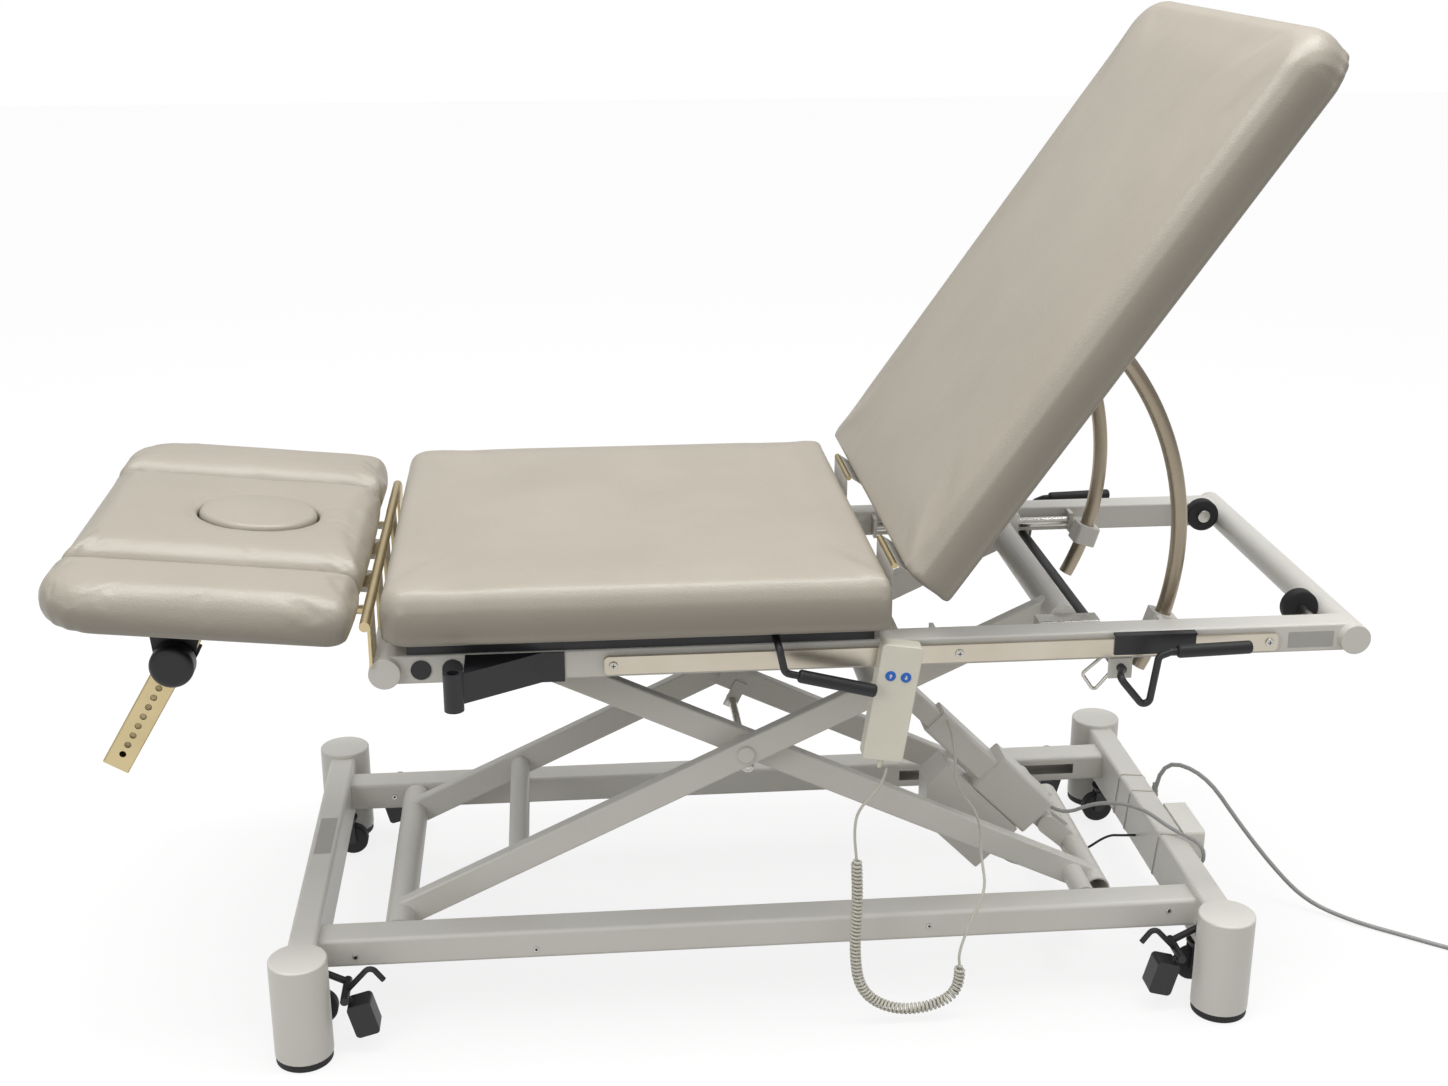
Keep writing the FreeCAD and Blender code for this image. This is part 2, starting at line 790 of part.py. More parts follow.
# Castors and pedals at the +X, +Y corner
def pedal():
    hub = rod_y(column_x, pedal_axle_z, pedal_y - pedal_hub_w / 2, pedal_y + pedal_hub_w / 2, pedal_hub_d)
    arm = box(column_x - finger_reach, column_x, pedal_y - pedal_hub_w / 2,
              pedal_y + pedal_hub_w / 2, pedal_axle_z - pedal_axle_d / 2, pedal_axle_z + pedal_axle_d / 2)
    finger = rod_y(column_x - finger_reach, pedal_axle_z, castor_y - stem_d / 2, pedal_y, finger_d)
    bar_x, bar_z = pedal_bar
    rod = bent_run([(column_x, pedal_y, pedal_axle_z), (bar_x, pedal_y, bar_z)], pedal_rod_d)
    cross = rod_y(bar_x, bar_z, pedal_y - pedal_bar_d / 2, pedal_bar_end, pedal_bar_d)
    hook = bent_rod([(bar_x, pedal_hook_y, bar_z), (pedal_hook[0], pedal_hook_y, pedal_hook[1]),
                     (pedal_hook_tip[0], pedal_hook_y, pedal_hook_tip[1])], pedal_hook_bend, pedal_axle_d)
    block_x, block_z = pedal_block
    shank = bent_run([(bar_x, pedal_block_y, bar_z), (block_x + finger_d / 2, pedal_block_y, block_z)],
                     pedal_rod_d)
    rods = fuse([hub, arm, finger, rod, cross, hook, shank])
    rods = rods.cut(rod_y(column_x, pedal_axle_z, pedal_y - pedal_hub_w, pedal_y + pedal_hub_w,
                          pedal_axle_d + 2 * run_gap))
    block = round_bar(-pedal_block_w / 2, pedal_block_w / 2, pedal_block_y - pedal_block_d / 2,
                      pedal_block_y + pedal_block_d / 2, -pedal_block_h / 2, pedal_block_h / 2,
                      "y", bar_edge)
    block = place(block, block_x, block_z, -pedal_block_lean)
    return Part.makeCompound([rods, block.cut(rods)])


def bent_run(points, d):
    """A straight round bar between two points."""
    a, b = Vector(*points[0]), Vector(*points[1])
    return Part.makeCylinder(d / 2, b.sub(a).Length, a, b.sub(a))


def castor_carriage():
    base_z = swivel_z + swivel_gap
    disc = rod_z(column_x, castor_y, base_z, base_z + swivel_t, swivel_d)
    stem = rod_z(column_x, castor_y, base_z, stem_top, stem_d)
    cap = rod_z(column_x, castor_y, stem_top, stem_top + stem_cap_t, stem_cap_d)
    bore = rod_z(column_x, castor_y, 0, swivel_z + castor_d / 2, swivel_pin_d + 2 * run_gap)
    return fuse([disc, stem, cap]).cut(bore)


def castor_fork():
    axle_x = column_x - castor_trail
    axle_z = castor_floor_gap + castor_d / 2
    inner = castor_w / 2 + fork_gap
    crown = rod_z(column_x, castor_y, crown_z, crown_z + fork_plate_t, crown_d)
    race = rod_z(column_x, castor_y, crown_z + fork_plate_t, swivel_z, swivel_race_d)
    pin = rod_z(column_x, castor_y, crown_z, swivel_z + castor_d / 2 - swivel_gap, swivel_pin_d)
    pieces = [crown, race, pin]
    eye = castor_d / 4
    for side in (1, -1):
        cheek = plate([(column_x - crown_d / 2, crown_z), (column_x + crown_d / 3, crown_z),
                       (axle_x + eye / 2, axle_z - eye / 3), (axle_x - eye / 2, axle_z - eye / 3)],
                      castor_y + side * inner, castor_y + side * (inner + fork_plate_t))
        pieces.append(cheek)
        pieces.append(box(column_x - crown_d / 2, column_x + crown_d / 3, castor_y + side * inner,
                          castor_y + side * (inner + fork_plate_t), crown_z, crown_z + fork_plate_t))
    half = inner + fork_plate_t
    pieces.append(rod_y(axle_x, axle_z, castor_y - half, castor_y + half, castor_axle_d))
    return fuse(pieces)


def castor_wheel():
    axle_x = column_x - castor_trail
    axle_z = castor_floor_gap + castor_d / 2
    wheel = rod_y(axle_x, axle_z, castor_y - castor_w / 2, castor_y + castor_w / 2, castor_d)
    wheel = wheel.makeFillet(castor_w / 5, wheel.Edges)
    return wheel.cut(rod_y(axle_x, axle_z, castor_y - castor_w, castor_y + castor_w,
                           castor_axle_d + 2 * run_gap))


# Scissor lift, drawn along +X about the crossing
def lift_arm(s0, s1, y_mid):
    """A rectangular tube with a vent hole on its underside near each welded end."""
    arm = tube_bar(s0, s1, y_mid - arm_w / 2, y_mid + arm_w / 2, -arm_d / 2, arm_d / 2,
                   "x", bar_edge / 2, arm_wall)
    for s in (s0 + vent_in, s1 - vent_in):
        arm = arm.cut(rod_z(s, y_mid, -arm_d, 0, vent_d))
    return arm


def outer_lift():
    """Arms, cross tubes, pins and lugs, each a solid of its own that touches the next."""
    s_low, s_brace, s_top = -lower_half, brace_s - lower_half, upper_half
    outer_face = outer_arm_y + arm_w / 2
    inner_face = outer_arm_y - arm_w / 2
    pin_in = inner_arm_y - arm_w / 2 - pivot_head_t - slide_gap
    foot = [pipe_y(s_low, 0, -foot_tube_end, foot_tube_end, foot_tube_d, tube_wall)]
    head = [pipe_y(s_top, 0, -head_tube_end, head_tube_end, head_tube_d, tube_wall)]
    pieces = []
    for side in (1, -1):
        arm = lift_arm(s_low, s_top, side * outer_arm_y)
        for s, d in ((s_low, foot_tube_d), (0, pivot_pin_d), (s_top, head_tube_d)):
            arm = arm.cut(rod_y(s, 0, -column_y, column_y, d))
        pieces.append(arm)
        pieces.append(fuse([
            rod_y(0, 0, side * pin_in, side * outer_face, pivot_pin_d),
            rod_y(0, 0, side * (inner_arm_y + arm_w / 2 + slide_gap), side * inner_face, stub_d),
            rod_y(0, 0, side * pin_in, side * (pin_in + pivot_head_t), pivot_boss_d)]))
        head.append(rod_y(s_top, 0, side * (head_tube_end - arm_w), side * head_tube_end,
                          head_tube_d - 2 * tube_wall))
        head.append(rod_y(s_top, 0, side * (head_tube_end - arm_w), side * (guide_block_y0 + overrun),
                          pivot_pin_d))
        bush = rod_y(s_low, 0, side * (foot_tube_end - foot_tube_bush), side * foot_tube_end,
                     foot_tube_d - 2 * tube_wall)
        foot.append(bush.cut(rod_y(s_low, 0, 0, side * column_y, pivot_pin_d + 2 * run_gap)))
        cap = rod_y(0, 0, side * outer_face, side * (outer_face + pivot_cap_t), pivot_boss_d)
        pieces.append(domed(cap, pivot_cap_t / 2, lambda p: abs(p.y) > outer_face + cap_t))
    pieces.extend([fuse(foot), fuse(head)])
    pieces.append(pipe_y(s_brace, 0, -inner_face, inner_face, brace_d, tube_wall))
    pieces.append(pipe_y(thrust_s, 0, -inner_face, inner_face, thrust_d, tube_wall))
    pieces = [place(piece, cross_x, cross_z, rise_deg) for piece in pieces]
    for side in (1, -1):
        y0 = side * (eye_w / 2 + slide_gap)
        y1 = y0 + side * clevis_lug_t
        lug = link(thrust_x, thrust_z, push_x, push_z, clevis_lug_w, y0, y1)
        pieces.append(lug.cut(rod_y(thrust_x, thrust_z, -column_y, column_y, thrust_d)))
        bolt = rod_y(push_x, push_z, y1, y1 + side * clevis_lug_t, head_bolt_d)
        pieces.append(domed(bolt, slide_gap * 4, lambda p: abs(p.y) > abs(y1) + slide_gap))
    return pieces


def inner_lift():
    """As the outer pair, with the rear tube and clevis that carry the actuator."""
    s_top, s_pin = -upper_half, lower_half
    s_end = lower_half + rear_tube_step
    inner_face = inner_arm_y - arm_w / 2
    outer_face = inner_arm_y + arm_w / 2
    lug_face = inner_face - tie_lug_t
    rod_end = inner_face + tie_lug_t
    head = [pipe_y(s_top, 0, -head_tube_end, head_tube_end, inner_head_tube_d, tube_wall)]
    pieces = [pipe_y(s_end, 0, -rear_tube_end, rear_tube_end, rear_tube_d, tube_wall)]
    tie = [rod_y(tie_s, -tie_drop, -rod_end, rod_end, tie_d)]
    for side in (1, -1):
        boss = rod_y(0, 0, side * (inner_face + arm_wall / 2), side * (outer_face - arm_wall / 2),
                     pivot_boss_d)
        arm = fuse([lift_arm(s_top, s_end, side * inner_arm_y), boss])
        for s, d in ((s_top, inner_head_tube_d), (0, pivot_pin_d + 2 * run_gap), (s_end, rear_tube_d)):
            arm = arm.cut(rod_y(s, 0, -column_y, column_y, d))
        pieces.append(arm)
        pieces.append(fuse([rod_y(s_pin, 0, side * outer_face, side * stub_end, stub_d),
                            rod_y(s_pin, 0, side * outer_face, side * lower_pin_end, clevis_pin_d)]))
        lug = box(tie_s - tie_lug_w / 2, tie_s + tie_lug_w / 2, side * lug_face, side * inner_face,
                  -tie_drop - tie_d, 0)
        pieces.append(lug.cut(rod_y(tie_s, -tie_drop, -column_y, column_y, tie_d)))
        bush = rod_y(s_top, 0, side * (head_tube_end - foot_tube_bush), side * head_tube_end,
                     inner_head_tube_d - 2 * tube_wall)
        head.append(bush.cut(rod_y(s_top, 0, 0, side * column_y, pivot_pin_d + 2 * run_gap)))
    ball = Part.makeSphere(tie_ball_d / 2, Vector(tie_s, -rod_end - tie_ball_d / 4, -tie_drop))
    tie.append(ball.common(box(tie_s - tie_ball_d, tie_s + tie_ball_d, -rod_end - tie_ball_d, -inner_face,
                               -tie_drop - tie_ball_d, -tie_drop + tie_ball_d)))
    tie.append(rod_y(tie_s, -tie_drop, inner_face, rod_end, tie_ball_d))
    pieces.extend([fuse(head), fuse(tie)])
    pieces = [place(piece, cross_x, cross_z, -rise_deg) for piece in pieces]
    tube_x = cross_x + s_end * math.cos(rise)
    tube_z = cross_z - s_end * math.sin(rise)
    reach = eye_w / 2 + slide_gap + clevis_lug_t
    pin = rod_y(clevis_x, clevis_z, -reach, reach, clevis_pin_d)
    pieces.append(pin)
    for side in (1, -1):
        y0 = side * (eye_w / 2 + slide_gap)
        lug = link(clevis_x, clevis_z, tube_x, tube_z, clevis_lug_w, y0, y0 + side * clevis_lug_t)
        pieces.append(lug.cut(rod_y(tube_x, tube_z, -column_y, column_y, rear_tube_d)).cut(pin))
    return pieces


def lower_blocks():
    inner = rail_y - rail_w / 2
    half_h = slot_h / 2 - slide_gap
    body = box(inner_low[0] - block_l / 2, inner_low[0] + block_l / 2, stub_end + 3 * slide_gap,
               inner + block_depth / 2,
               lift_low_z - half_h, lift_low_z + half_h)
    flange = box(inner_low[0] - block_l / 2, inner_low[0] + block_l / 2, inner + tube_wall + slide_gap,
                 inner + block_depth / 2, lift_low_z - block_l / 2, lift_low_z + block_l / 2)
    bore = rod_y(inner_low[0], lift_low_z, 0, column_y, clevis_pin_d + 2 * run_gap)
    return both_sides(fuse([body, flange]).cut(bore))


def upper_blocks():
    x, z = outer_top
    body = round_bar(x - guide_block_l / 2, x + guide_block_l / 2, guide_block_y0, guide_block_y1,
                     guide_block_z0, guide_block_z0 + guide_block_h, "x", bar_edge / 2)
    bore = rod_y(x, z, 0, guide_block_y0 + overrun + 2 * run_gap, pivot_pin_d + 2 * run_gap)
    way = rod_x(guide_rod_y, frame_z, x - guide_block_l, x + guide_block_l, guide_rod_d + 2 * run_gap)
    return both_sides(body.cut(bore).cut(way))


# Actuator, drawn along +X from the clevis pin; +Z there is the motor's side
def actuator_housing():
    rear = fuse([rod_y(0, 0, -eye_w / 2, eye_w / 2, 2 * eye_r),
                 box(0, cover_s0, -eye_w / 2, eye_w / 2, -eye_r, eye_r)])
    cover = tube_bar(cover_s0, cover_s1, -cover_w / 2, cover_w / 2, -cover_d / 2, cover_d / 2,
                     "x", bar_edge, cover_wall)
    back_plate = box(cover_s0, cover_s0 + cover_wall, bar_edge - cover_w / 2, cover_w / 2 - bar_edge,
                     cover_wall - cover_d / 2, cover_d / 2 - cover_wall)
    front_plate = box(cover_s1 - cover_wall, cover_s1, cover_wall - cover_w / 2, cover_w / 2 - cover_wall,
                      cover_wall - cover_d / 2, cover_d / 2 - cover_wall)
    inner = box(cover_s1 - overrun, cover_s1 + overrun, cover_wall - mid_w / 2, mid_w / 2 - cover_wall,
                cover_wall - mid_d / 2, mid_d / 2 - cover_wall)
    middle = tube_bar(cover_s1 - cover_wall, mid_s1, -mid_w / 2, mid_w / 2, -mid_d / 2, mid_d / 2,
                      "x", bar_edge, cover_wall)
    ring = box(mid_s1 - overrun, mid_s1, cover_wall - mid_w / 2, mid_w / 2 - cover_wall,
               cover_wall - mid_d / 2, mid_d / 2 - cover_wall)
    mouth = box(mid_s1 - 2 * overrun, mid_s1 + overrun, -column_rod_w / 2 - slide_gap,
                column_rod_w / 2 + slide_gap, -column_rod_d / 2 - slide_gap, column_rod_d / 2 + slide_gap)
    spindle = rod_x(0, 0, cover_s0, mid_s1 - overrun, pivot_pin_d)
    shell = fuse([rear, cover, back_plate, front_plate.cut(inner), middle, ring.cut(mouth)])
    shell = shell.cut(rod_y(0, 0, -column_y, column_y, clevis_pin_d + 2 * run_gap))
    return [place(fuse([shell, spindle.cut(rear)]), clevis_x, clevis_z, push_deg)]


def actuator_motor():
    sides = [(motor_s0, cover_d / 2), (motor_s1, cover_d / 2), (motor_s1, motor_n1 - motor_cut),
             (motor_s1 - motor_cut, motor_n1), (motor_s0, motor_n1)]
    case = plate(sides, -motor_w / 2, motor_w / 2)
    case = case.makeFillet(cover_wall, [e for e in case.Edges if abs(e.tangentAt(e.FirstParameter).y) > 0.9])
    top = plate([(motor_s1 - cover_wall, mid_d / 2), (motor_s1, mid_d / 2), (motor_s1, cover_d / 2),
                 (motor_s1 - cover_wall, cover_d / 2)], -eye_w / 2, eye_w / 2)
    hollow = box(motor_s0 + cover_wall, cover_s1 - cover_wall, cover_wall - motor_w / 2,
                 motor_w / 2 - cover_wall, cover_d / 2 + cover_wall, motor_n1 - cover_wall)
    motor_z = (cover_d / 2 + motor_n1) / 2
    body = rod_x(0, motor_z, motor_s0 + cover_wall, motor_s0 + motor_body_l, motor_w - 4 * cover_wall)
    shell = fuse([case.cut(hollow), top])
    return [place(shell, clevis_x, clevis_z, push_deg), place(body, clevis_x, clevis_z, push_deg)]


def actuator_column():
    bar = tube_bar(column_s0, push_l - column_rod_w, -column_rod_w / 2, column_rod_w / 2,
                   -column_rod_d / 2, column_rod_d / 2, "x", bar_edge / 2 + slide_gap, cover_wall)
    nut = box(column_s0, column_s0 + eye_r, cover_wall - column_rod_w / 2, column_rod_w / 2 - cover_wall,
              cover_wall - column_rod_d / 2, column_rod_d / 2 - cover_wall)
    bore = rod_x(0, 0, 0, column_s0 + 2 * eye_r, pivot_pin_d + 2 * slide_gap)
    neck = box(push_l - 4 * eye_r, push_l, -eye_w / 2, eye_w / 2, cover_wall - column_rod_d / 2,
               column_rod_d / 2 - cover_wall)
    eye = rod_y(push_l, 0, -eye_w / 2, eye_w / 2, 2 * eye_r)
    column = fuse([bar, nut.cut(bore), neck, eye])
    return [place(column.cut(rod_y(push_l, 0, -column_y, column_y, clevis_pin_d)), clevis_x, clevis_z, push_deg)]


# Top frame
def frame_side_rails():
    half = frame_s / 2
    rail = tube_bar(frame_x0, frame_x1, frame_y - half, frame_y + half, frame_z - half, frame_z + half,
                    "x", bar_edge / 2, frame_wall)
    for x in (frame_x0, frame_x1):
        rail = rail.cut(rod_y(x, frame_z, 0, column_y, end_tube_d))
    inner = frame_y - half
    x, z = inner_top
    stub = fuse([rod_y(x, z, head_tube_end - foot_tube_bush + run_gap, inner + frame_wall, pivot_pin_d),
                 rod_y(x, z, head_tube_end + frame_wall, inner + frame_wall, collar_d)])
    return both_sides(fuse([rail, stub]))


def frame_end_tubes():
    pieces = []
    for x in (frame_x0, frame_x1):
        pieces.append(pipe_y(x, frame_z, -end_tube_y, end_tube_y, end_tube_d, frame_wall))
        cap = domed(rod_y(x, frame_z, end_tube_y, end_tube_y + cap_t, end_tube_d), cap_t / 3,
                    lambda p: p.y > end_tube_y + cap_t / 2)
        pieces.extend(both_sides(cap))
    for x in plug_hole_x:
        plug = rod_y(x, frame_z, frame_y + frame_s / 2, frame_y + frame_s / 2 + frame_wall, plug_hole_d)
        pieces.extend(both_sides(plug))
    return pieces


def frame_fittings():
    inner = frame_y - frame_s / 2
    outer = frame_y + frame_s / 2
    low, high = frame_z - frame_s / 2, frame_z + frame_s / 2
    pieces = [box(back_bar_x0, back_bar_x1, -inner, inner, back_bar_z0, high)]
    one_side = []
    one_side.append(rod_x(guide_rod_y, frame_z, guide_rod_x0 - guide_plate_t, guide_rod_x1 + guide_plate_t,
                          guide_rod_d))
    for x in (guide_rod_x0 - guide_plate_t, guide_rod_x1):
        one_side.append(box(x, x + guide_plate_t, guide_rod_y - guide_rod_d * 3 / 4, inner,
                            frame_z - guide_rod_d, frame_z + guide_rod_d))
    pieces.extend(both_sides(fuse(one_side)))
    bearing = box(shaft_x - bearing_w / 2, shaft_x + bearing_w / 2, outer - bearing_t, outer,
                  shaft_z - bearing_w / 2, low)
    bearing = bearing.cut(rod_y(shaft_x, shaft_z, 0, column_y, release_pin_d + 2 * run_gap))
    pieces.extend(both_sides(bearing))
    batten = box(seat_bar_x0, seat_bar_x1, seat_bar_y0, seat_bar_y1, high, seat_bottom)
    batten = batten.cut(rod_y(head_lever_x, head_lever_z, 0, column_y, release_rod_d + 2 * run_gap))
    pieces.extend(both_sides(batten))
    leaf = box(head_hinge_x + head_barrel_d / 4, head_hinge_x + head_barrel_d / 4 + head_leaf_t,
               -head_hinge_w / 2, head_hinge_w / 2, frame_z, head_hinge_z)
    leaf = leaf.cut(rod_y(frame_x0, frame_z, -column_y, column_y, end_tube_d))
    pieces.append(hinge_tabs(head_hinge_x, head_hinge_z, leaf, 0, head_hinge_w, head_hinge_parts, 0,
                             head_barrel_d, head_pin_d, True))
    leaf = box(back_hinge_x - 2 * hinge_leaf_t, back_hinge_x - hinge_leaf_t, hinge_mid_y - hinge_w / 2,
               hinge_mid_y + hinge_w / 2, high, back_hinge_z)
    pieces.extend(both_sides(hinge_side(back_hinge_x, back_hinge_z, leaf, hinge_mid_y, hinge_w,
                                        hinge_parts, 0, hinge_barrel_d, hinge_pin_d, True)))
    wire = bent_rod([(px, -hook_wire_y, pz) for px, pz in hook_wire], hook_wire_d, hook_wire_d)
    pieces.append(wire.cut(box(frame_x0, frame_x1, -column_y, 0, low, high)))
    return pieces


def arc_clamps():
    angle = -arc_clamp
    x = back_hinge_x + arc_r * math.cos(math.radians(angle))
    z = back_hinge_z + arc_r * math.sin(math.radians(angle))
    half = clamp_w / 2
    block = place(round_bar(-clamp_radial / 2, clamp_radial / 2, arc_y - half, arc_y + half,
                            -clamp_along / 2, clamp_along / 2, "z", bar_edge), x, z, angle)
    arm = box(x - clamp_arm_w / 2, x + clamp_arm_w / 2, arc_y + half - bar_edge, frame_y - frame_s / 2,
              z - clamp_arm_w / 2, z + clamp_arm_w / 2)
    spread = math.degrees(clamp_along / arc_r)
    bore = ring_arc(back_hinge_x, back_hinge_z, arc_y, arc_r, arc_d + 2 * slide_gap, angle - spread,
                    angle + spread)
    return both_sides(fuse([block, arm]).cut(bore))


def accessory_rail():
    face = -(frame_y + frame_s / 2)
    y0, y1 = face - accessory_off - accessory_t, face - accessory_off
    z = frame_z
    bar = box(accessory_x0, accessory_x1, y0, y1, z - accessory_h / 2, z + accessory_h / 2)
    bar = bar.makeFillet(accessory_h / 4, [e for e in bar.Edges if abs(e.tangentAt(e.FirstParameter).y) > 0.9])
    pieces = [bar]
    for x in accessory_screws:
        pieces.append(rod_y(x, z, face, y1, screw_d))
        head = rod_y(x, z, y0 - screw_head_t, y0, screw_d)
        pieces.append(domed(head, screw_head_t / 2, lambda p: p.y < y0 - screw_head_t / 2))
    return [fuse(pieces)]


def accessory_socket():
    face = -(frame_y + frame_s / 2)
    low, high = frame_z - socket_h / 2 - frame_wall, frame_z + socket_h / 2 - frame_wall
    mid = (low + high) / 2
    reach = math.hypot(socket_root_x - socket_x, face - socket_y)
    deg = math.degrees(math.atan2(socket_y - face, socket_x - socket_root_x))
    strip = box(0, reach, -socket_strip_t, 0, mid - socket_strip_h / 2, mid + socket_strip_h / 2)
    strip.rotate(Vector(0, 0, 0), Vector(0, 0, 1), deg)
    strip.translate(Vector(socket_root_x, face, 0))
    strip = strip.cut(box(socket_x, column_x, face, 0, low, high))
    edge_y = face - socket_d
    web_far = (socket_x + socket_d / 2, socket_y + socket_d / 4)
    wire = Part.makePolygon([Vector(socket_root_x, face, 0), Vector(web_far[0], face, 0),
                             Vector(web_far[0], web_far[1], 0), Vector(socket_root_x, face, 0)])
    web = Part.Face(wire).extrude(Vector(0, 0, socket_strip_t))
    web.translate(Vector(0, 0, mid + socket_strip_h / 2 - socket_strip_t))
    foot = box(socket_root_x - socket_d, socket_root_x + socket_d, face - socket_strip_t / 2, face,
               mid - socket_strip_h / 2, mid + socket_strip_h / 2)
    tube = rod_z(socket_x, socket_y, low, high, socket_d)
    bore = rod_z(socket_x, socket_y, low + socket_strip_t, high + overrun, socket_bore_d)
    bracket = fuse([strip, web, foot, tube]).cut(bore)
    bar_face = face - accessory_off - accessory_t
    half_h = sleeve_h / 2
    sleeve = box(sleeve_x0, sleeve_x1, bar_face - sleeve_t, bar_face, frame_z - accessory_h / 2 + sleeve_t,
                 frame_z + half_h)
    flange = box(sleeve_x0, sleeve_x1, bar_face - 2 * sleeve_t, face - sleeve_t, frame_z + half_h,
                 frame_z + half_h + sleeve_t)
    flange = flange.cut(box(sleeve_x0 - overrun, sleeve_x1 + overrun, bar_face, face, 0, frame_z + half_h))
    return [bracket, fuse([sleeve, flange])]


def bumpers():
    """Rubber stop discs that the lowered back frame rests on, on bolts through the rails."""
    z = seat_bottom - stop_plate_t - slide_gap - bumper_d / 2
    inner = frame_y - frame_s / 2
    low, high = bumper_y - bumper_w / 2, bumper_y + bumper_w / 2
    disc = rod_y(bumper_x, z, low, high, bumper_d)
    disc = disc.makeFillet(cap_t, disc.Edges)
    head = domed(rod_y(bumper_x, z, low - bumper_head_t, low, bumper_head_d), cap_t / 2,
                 lambda p: p.y < low - cap_t)
    bolt = fuse([rod_y(bumper_x, z, low, inner, bumper_bolt_d), head])
    return both_sides(disc.cut(bolt)) + both_sides(bolt)


def seat_cushion():
    return [cushion(seat_x0, seat_x1, cushion_half, seat_bottom, seat_h, corner_r, joint_r)]


# Levers
def grip_on(a, b, start):
    """A rubber grip over the end b of a straight rod that comes from a."""
    a, b = Vector(*a), Vector(*b)
    way = b.sub(a).normalize()
    first = a.add(way * start)
    grip = Part.makeCylinder(grip_d / 2, b.sub(first).Length + cap_t, first, way)
    return grip.makeFillet(grip_d / 4, grip.Edges[:1] + grip.Edges[2:])


def release_levers():
    pin = frame_y + frame_s / 2 + bearing_t + cap_t
    shaft_end = frame_y + frame_s / 2 - bearing_t - 2 * frame_wall
    shaft = fuse([rod_y(shaft_x, shaft_z, -shaft_end, shaft_end, shaft_d),
                  rod_y(shaft_x, shaft_z, -pin, pin, release_pin_d)])
    points = [(shaft_x, pin - cap_t, shaft_z)] + [(px, release_y, pz) for px, pz in release_path]
    rod = bent_rod(points, release_bend, release_rod_d)
    bend_x, bend_z = release_path[-2]
    end_x, end_z = release_path[-1]
    grip = grip_on((bend_x, release_y, bend_z), (end_x, release_y, end_z), grip_start)
    pieces = [fuse([shaft] + both_sides(rod))]
    pieces.extend(piece.cut(pieces[0]) for piece in both_sides(grip))
    return pieces


def head_lever():
    shaft = bent_rod([(head_lever_x, -head_lever_in, head_lever_z), (head_lever_x, -head_lever_y, head_lever_z),
                      (head_grip[0][0], -head_lever_y, head_grip[0][1]),
                      (head_grip[1][0], -head_lever_y, head_grip[1][1])], release_rod_d, release_rod_d)
    collar = rod_y(head_lever_x, head_lever_z, -head_lever_in, -seat_bar_y0 + slide_gap, grip_d)
    collar = collar.cut(rod_y(head_lever_x, head_lever_z, -seat_bar_y0 - 1, 0, release_rod_d))
    grip = grip_on((head_grip[0][0], -head_lever_y, head_grip[0][1]),
                   (head_grip[1][0], -head_lever_y, head_grip[1][1]), grip_d)
    return [shaft, grip.cut(shaft), collar.cut(shaft)]


# Back section, drawn flat
def back_frame():
    half_w = back_bar_w / 2
    x0 = back_hinge_x + 2 * hinge_leaf_t
    x_end = x0 + back_bar_l
    pieces = []
    for side in (1, -1):
        pieces.append(box(x0, x_end, side * back_bar_y - half_w, side * back_bar_y + half_w,
                          seat_bottom - back_bar_h, seat_bottom))
    arc_angle = -math.degrees(math.asin((back_hinge_z - seat_bottom + back_bar_h) / arc_r))
    arc_x = back_hinge_x + arc_r * math.cos(math.radians(arc_angle))
    for x, bar_t in ((x0 + half_w, back_bar_h), (arc_x, back_bar_h), (bumper_x, stop_plate_t)):
        pieces.append(box(x - half_w, x + half_w, -back_bar_y, back_bar_y, seat_bottom - bar_t, seat_bottom))
    frame = fuse(pieces)
    leaf = box(back_hinge_x + hinge_leaf_t, back_hinge_x + 2 * hinge_leaf_t, hinge_mid_y - hinge_w / 2,
               hinge_mid_y + hinge_w / 2, seat_bottom - back_bar_h, back_hinge_z)
    side_leaf = hinge_side(back_hinge_x, back_hinge_z, leaf, hinge_mid_y, hinge_w, hinge_parts, 1,
                           hinge_barrel_d, hinge_pin_d, False)
    return [turn(s, back_hinge_x, back_hinge_z, back_raise) for s in [frame] + both_sides(side_leaf)]


def arc_tubes():
    top = -math.degrees(math.asin((back_hinge_z - seat_bottom + back_bar_h) / arc_r)) + 2
    low = -arc_low - back_raise
    end = math.degrees(cap_t / arc_r)
    tube = ring_arc(back_hinge_x, back_hinge_z, arc_y, arc_r, arc_d, low, top)
    hollow = ring_arc(back_hinge_x, back_hinge_z, arc_y, arc_r, arc_d - 2 * frame_wall, low + end, top + end)
    tube = tube.cut(hollow)
    tube = tube.cut(box(back_hinge_x, column_x, 0, column_y, seat_bottom - back_bar_h, seat_bottom + arc_r))
    return [turn(s, back_hinge_x, back_hinge_z, back_raise) for s in both_sides(tube)]


def back_cushion():
    x0 = back_hinge_x + back_gap
    pad = cushion(x0, x0 + back_l, cushion_half, seat_bottom, seat_h, joint_r, back_top_r)
    return [turn(pad, back_hinge_x, back_hinge_z, back_raise)]


# Head section, drawn flat
def head_turn(shapes):
    return [turn(s, head_hinge_x, head_hinge_z, -head_raise) for s in shapes]


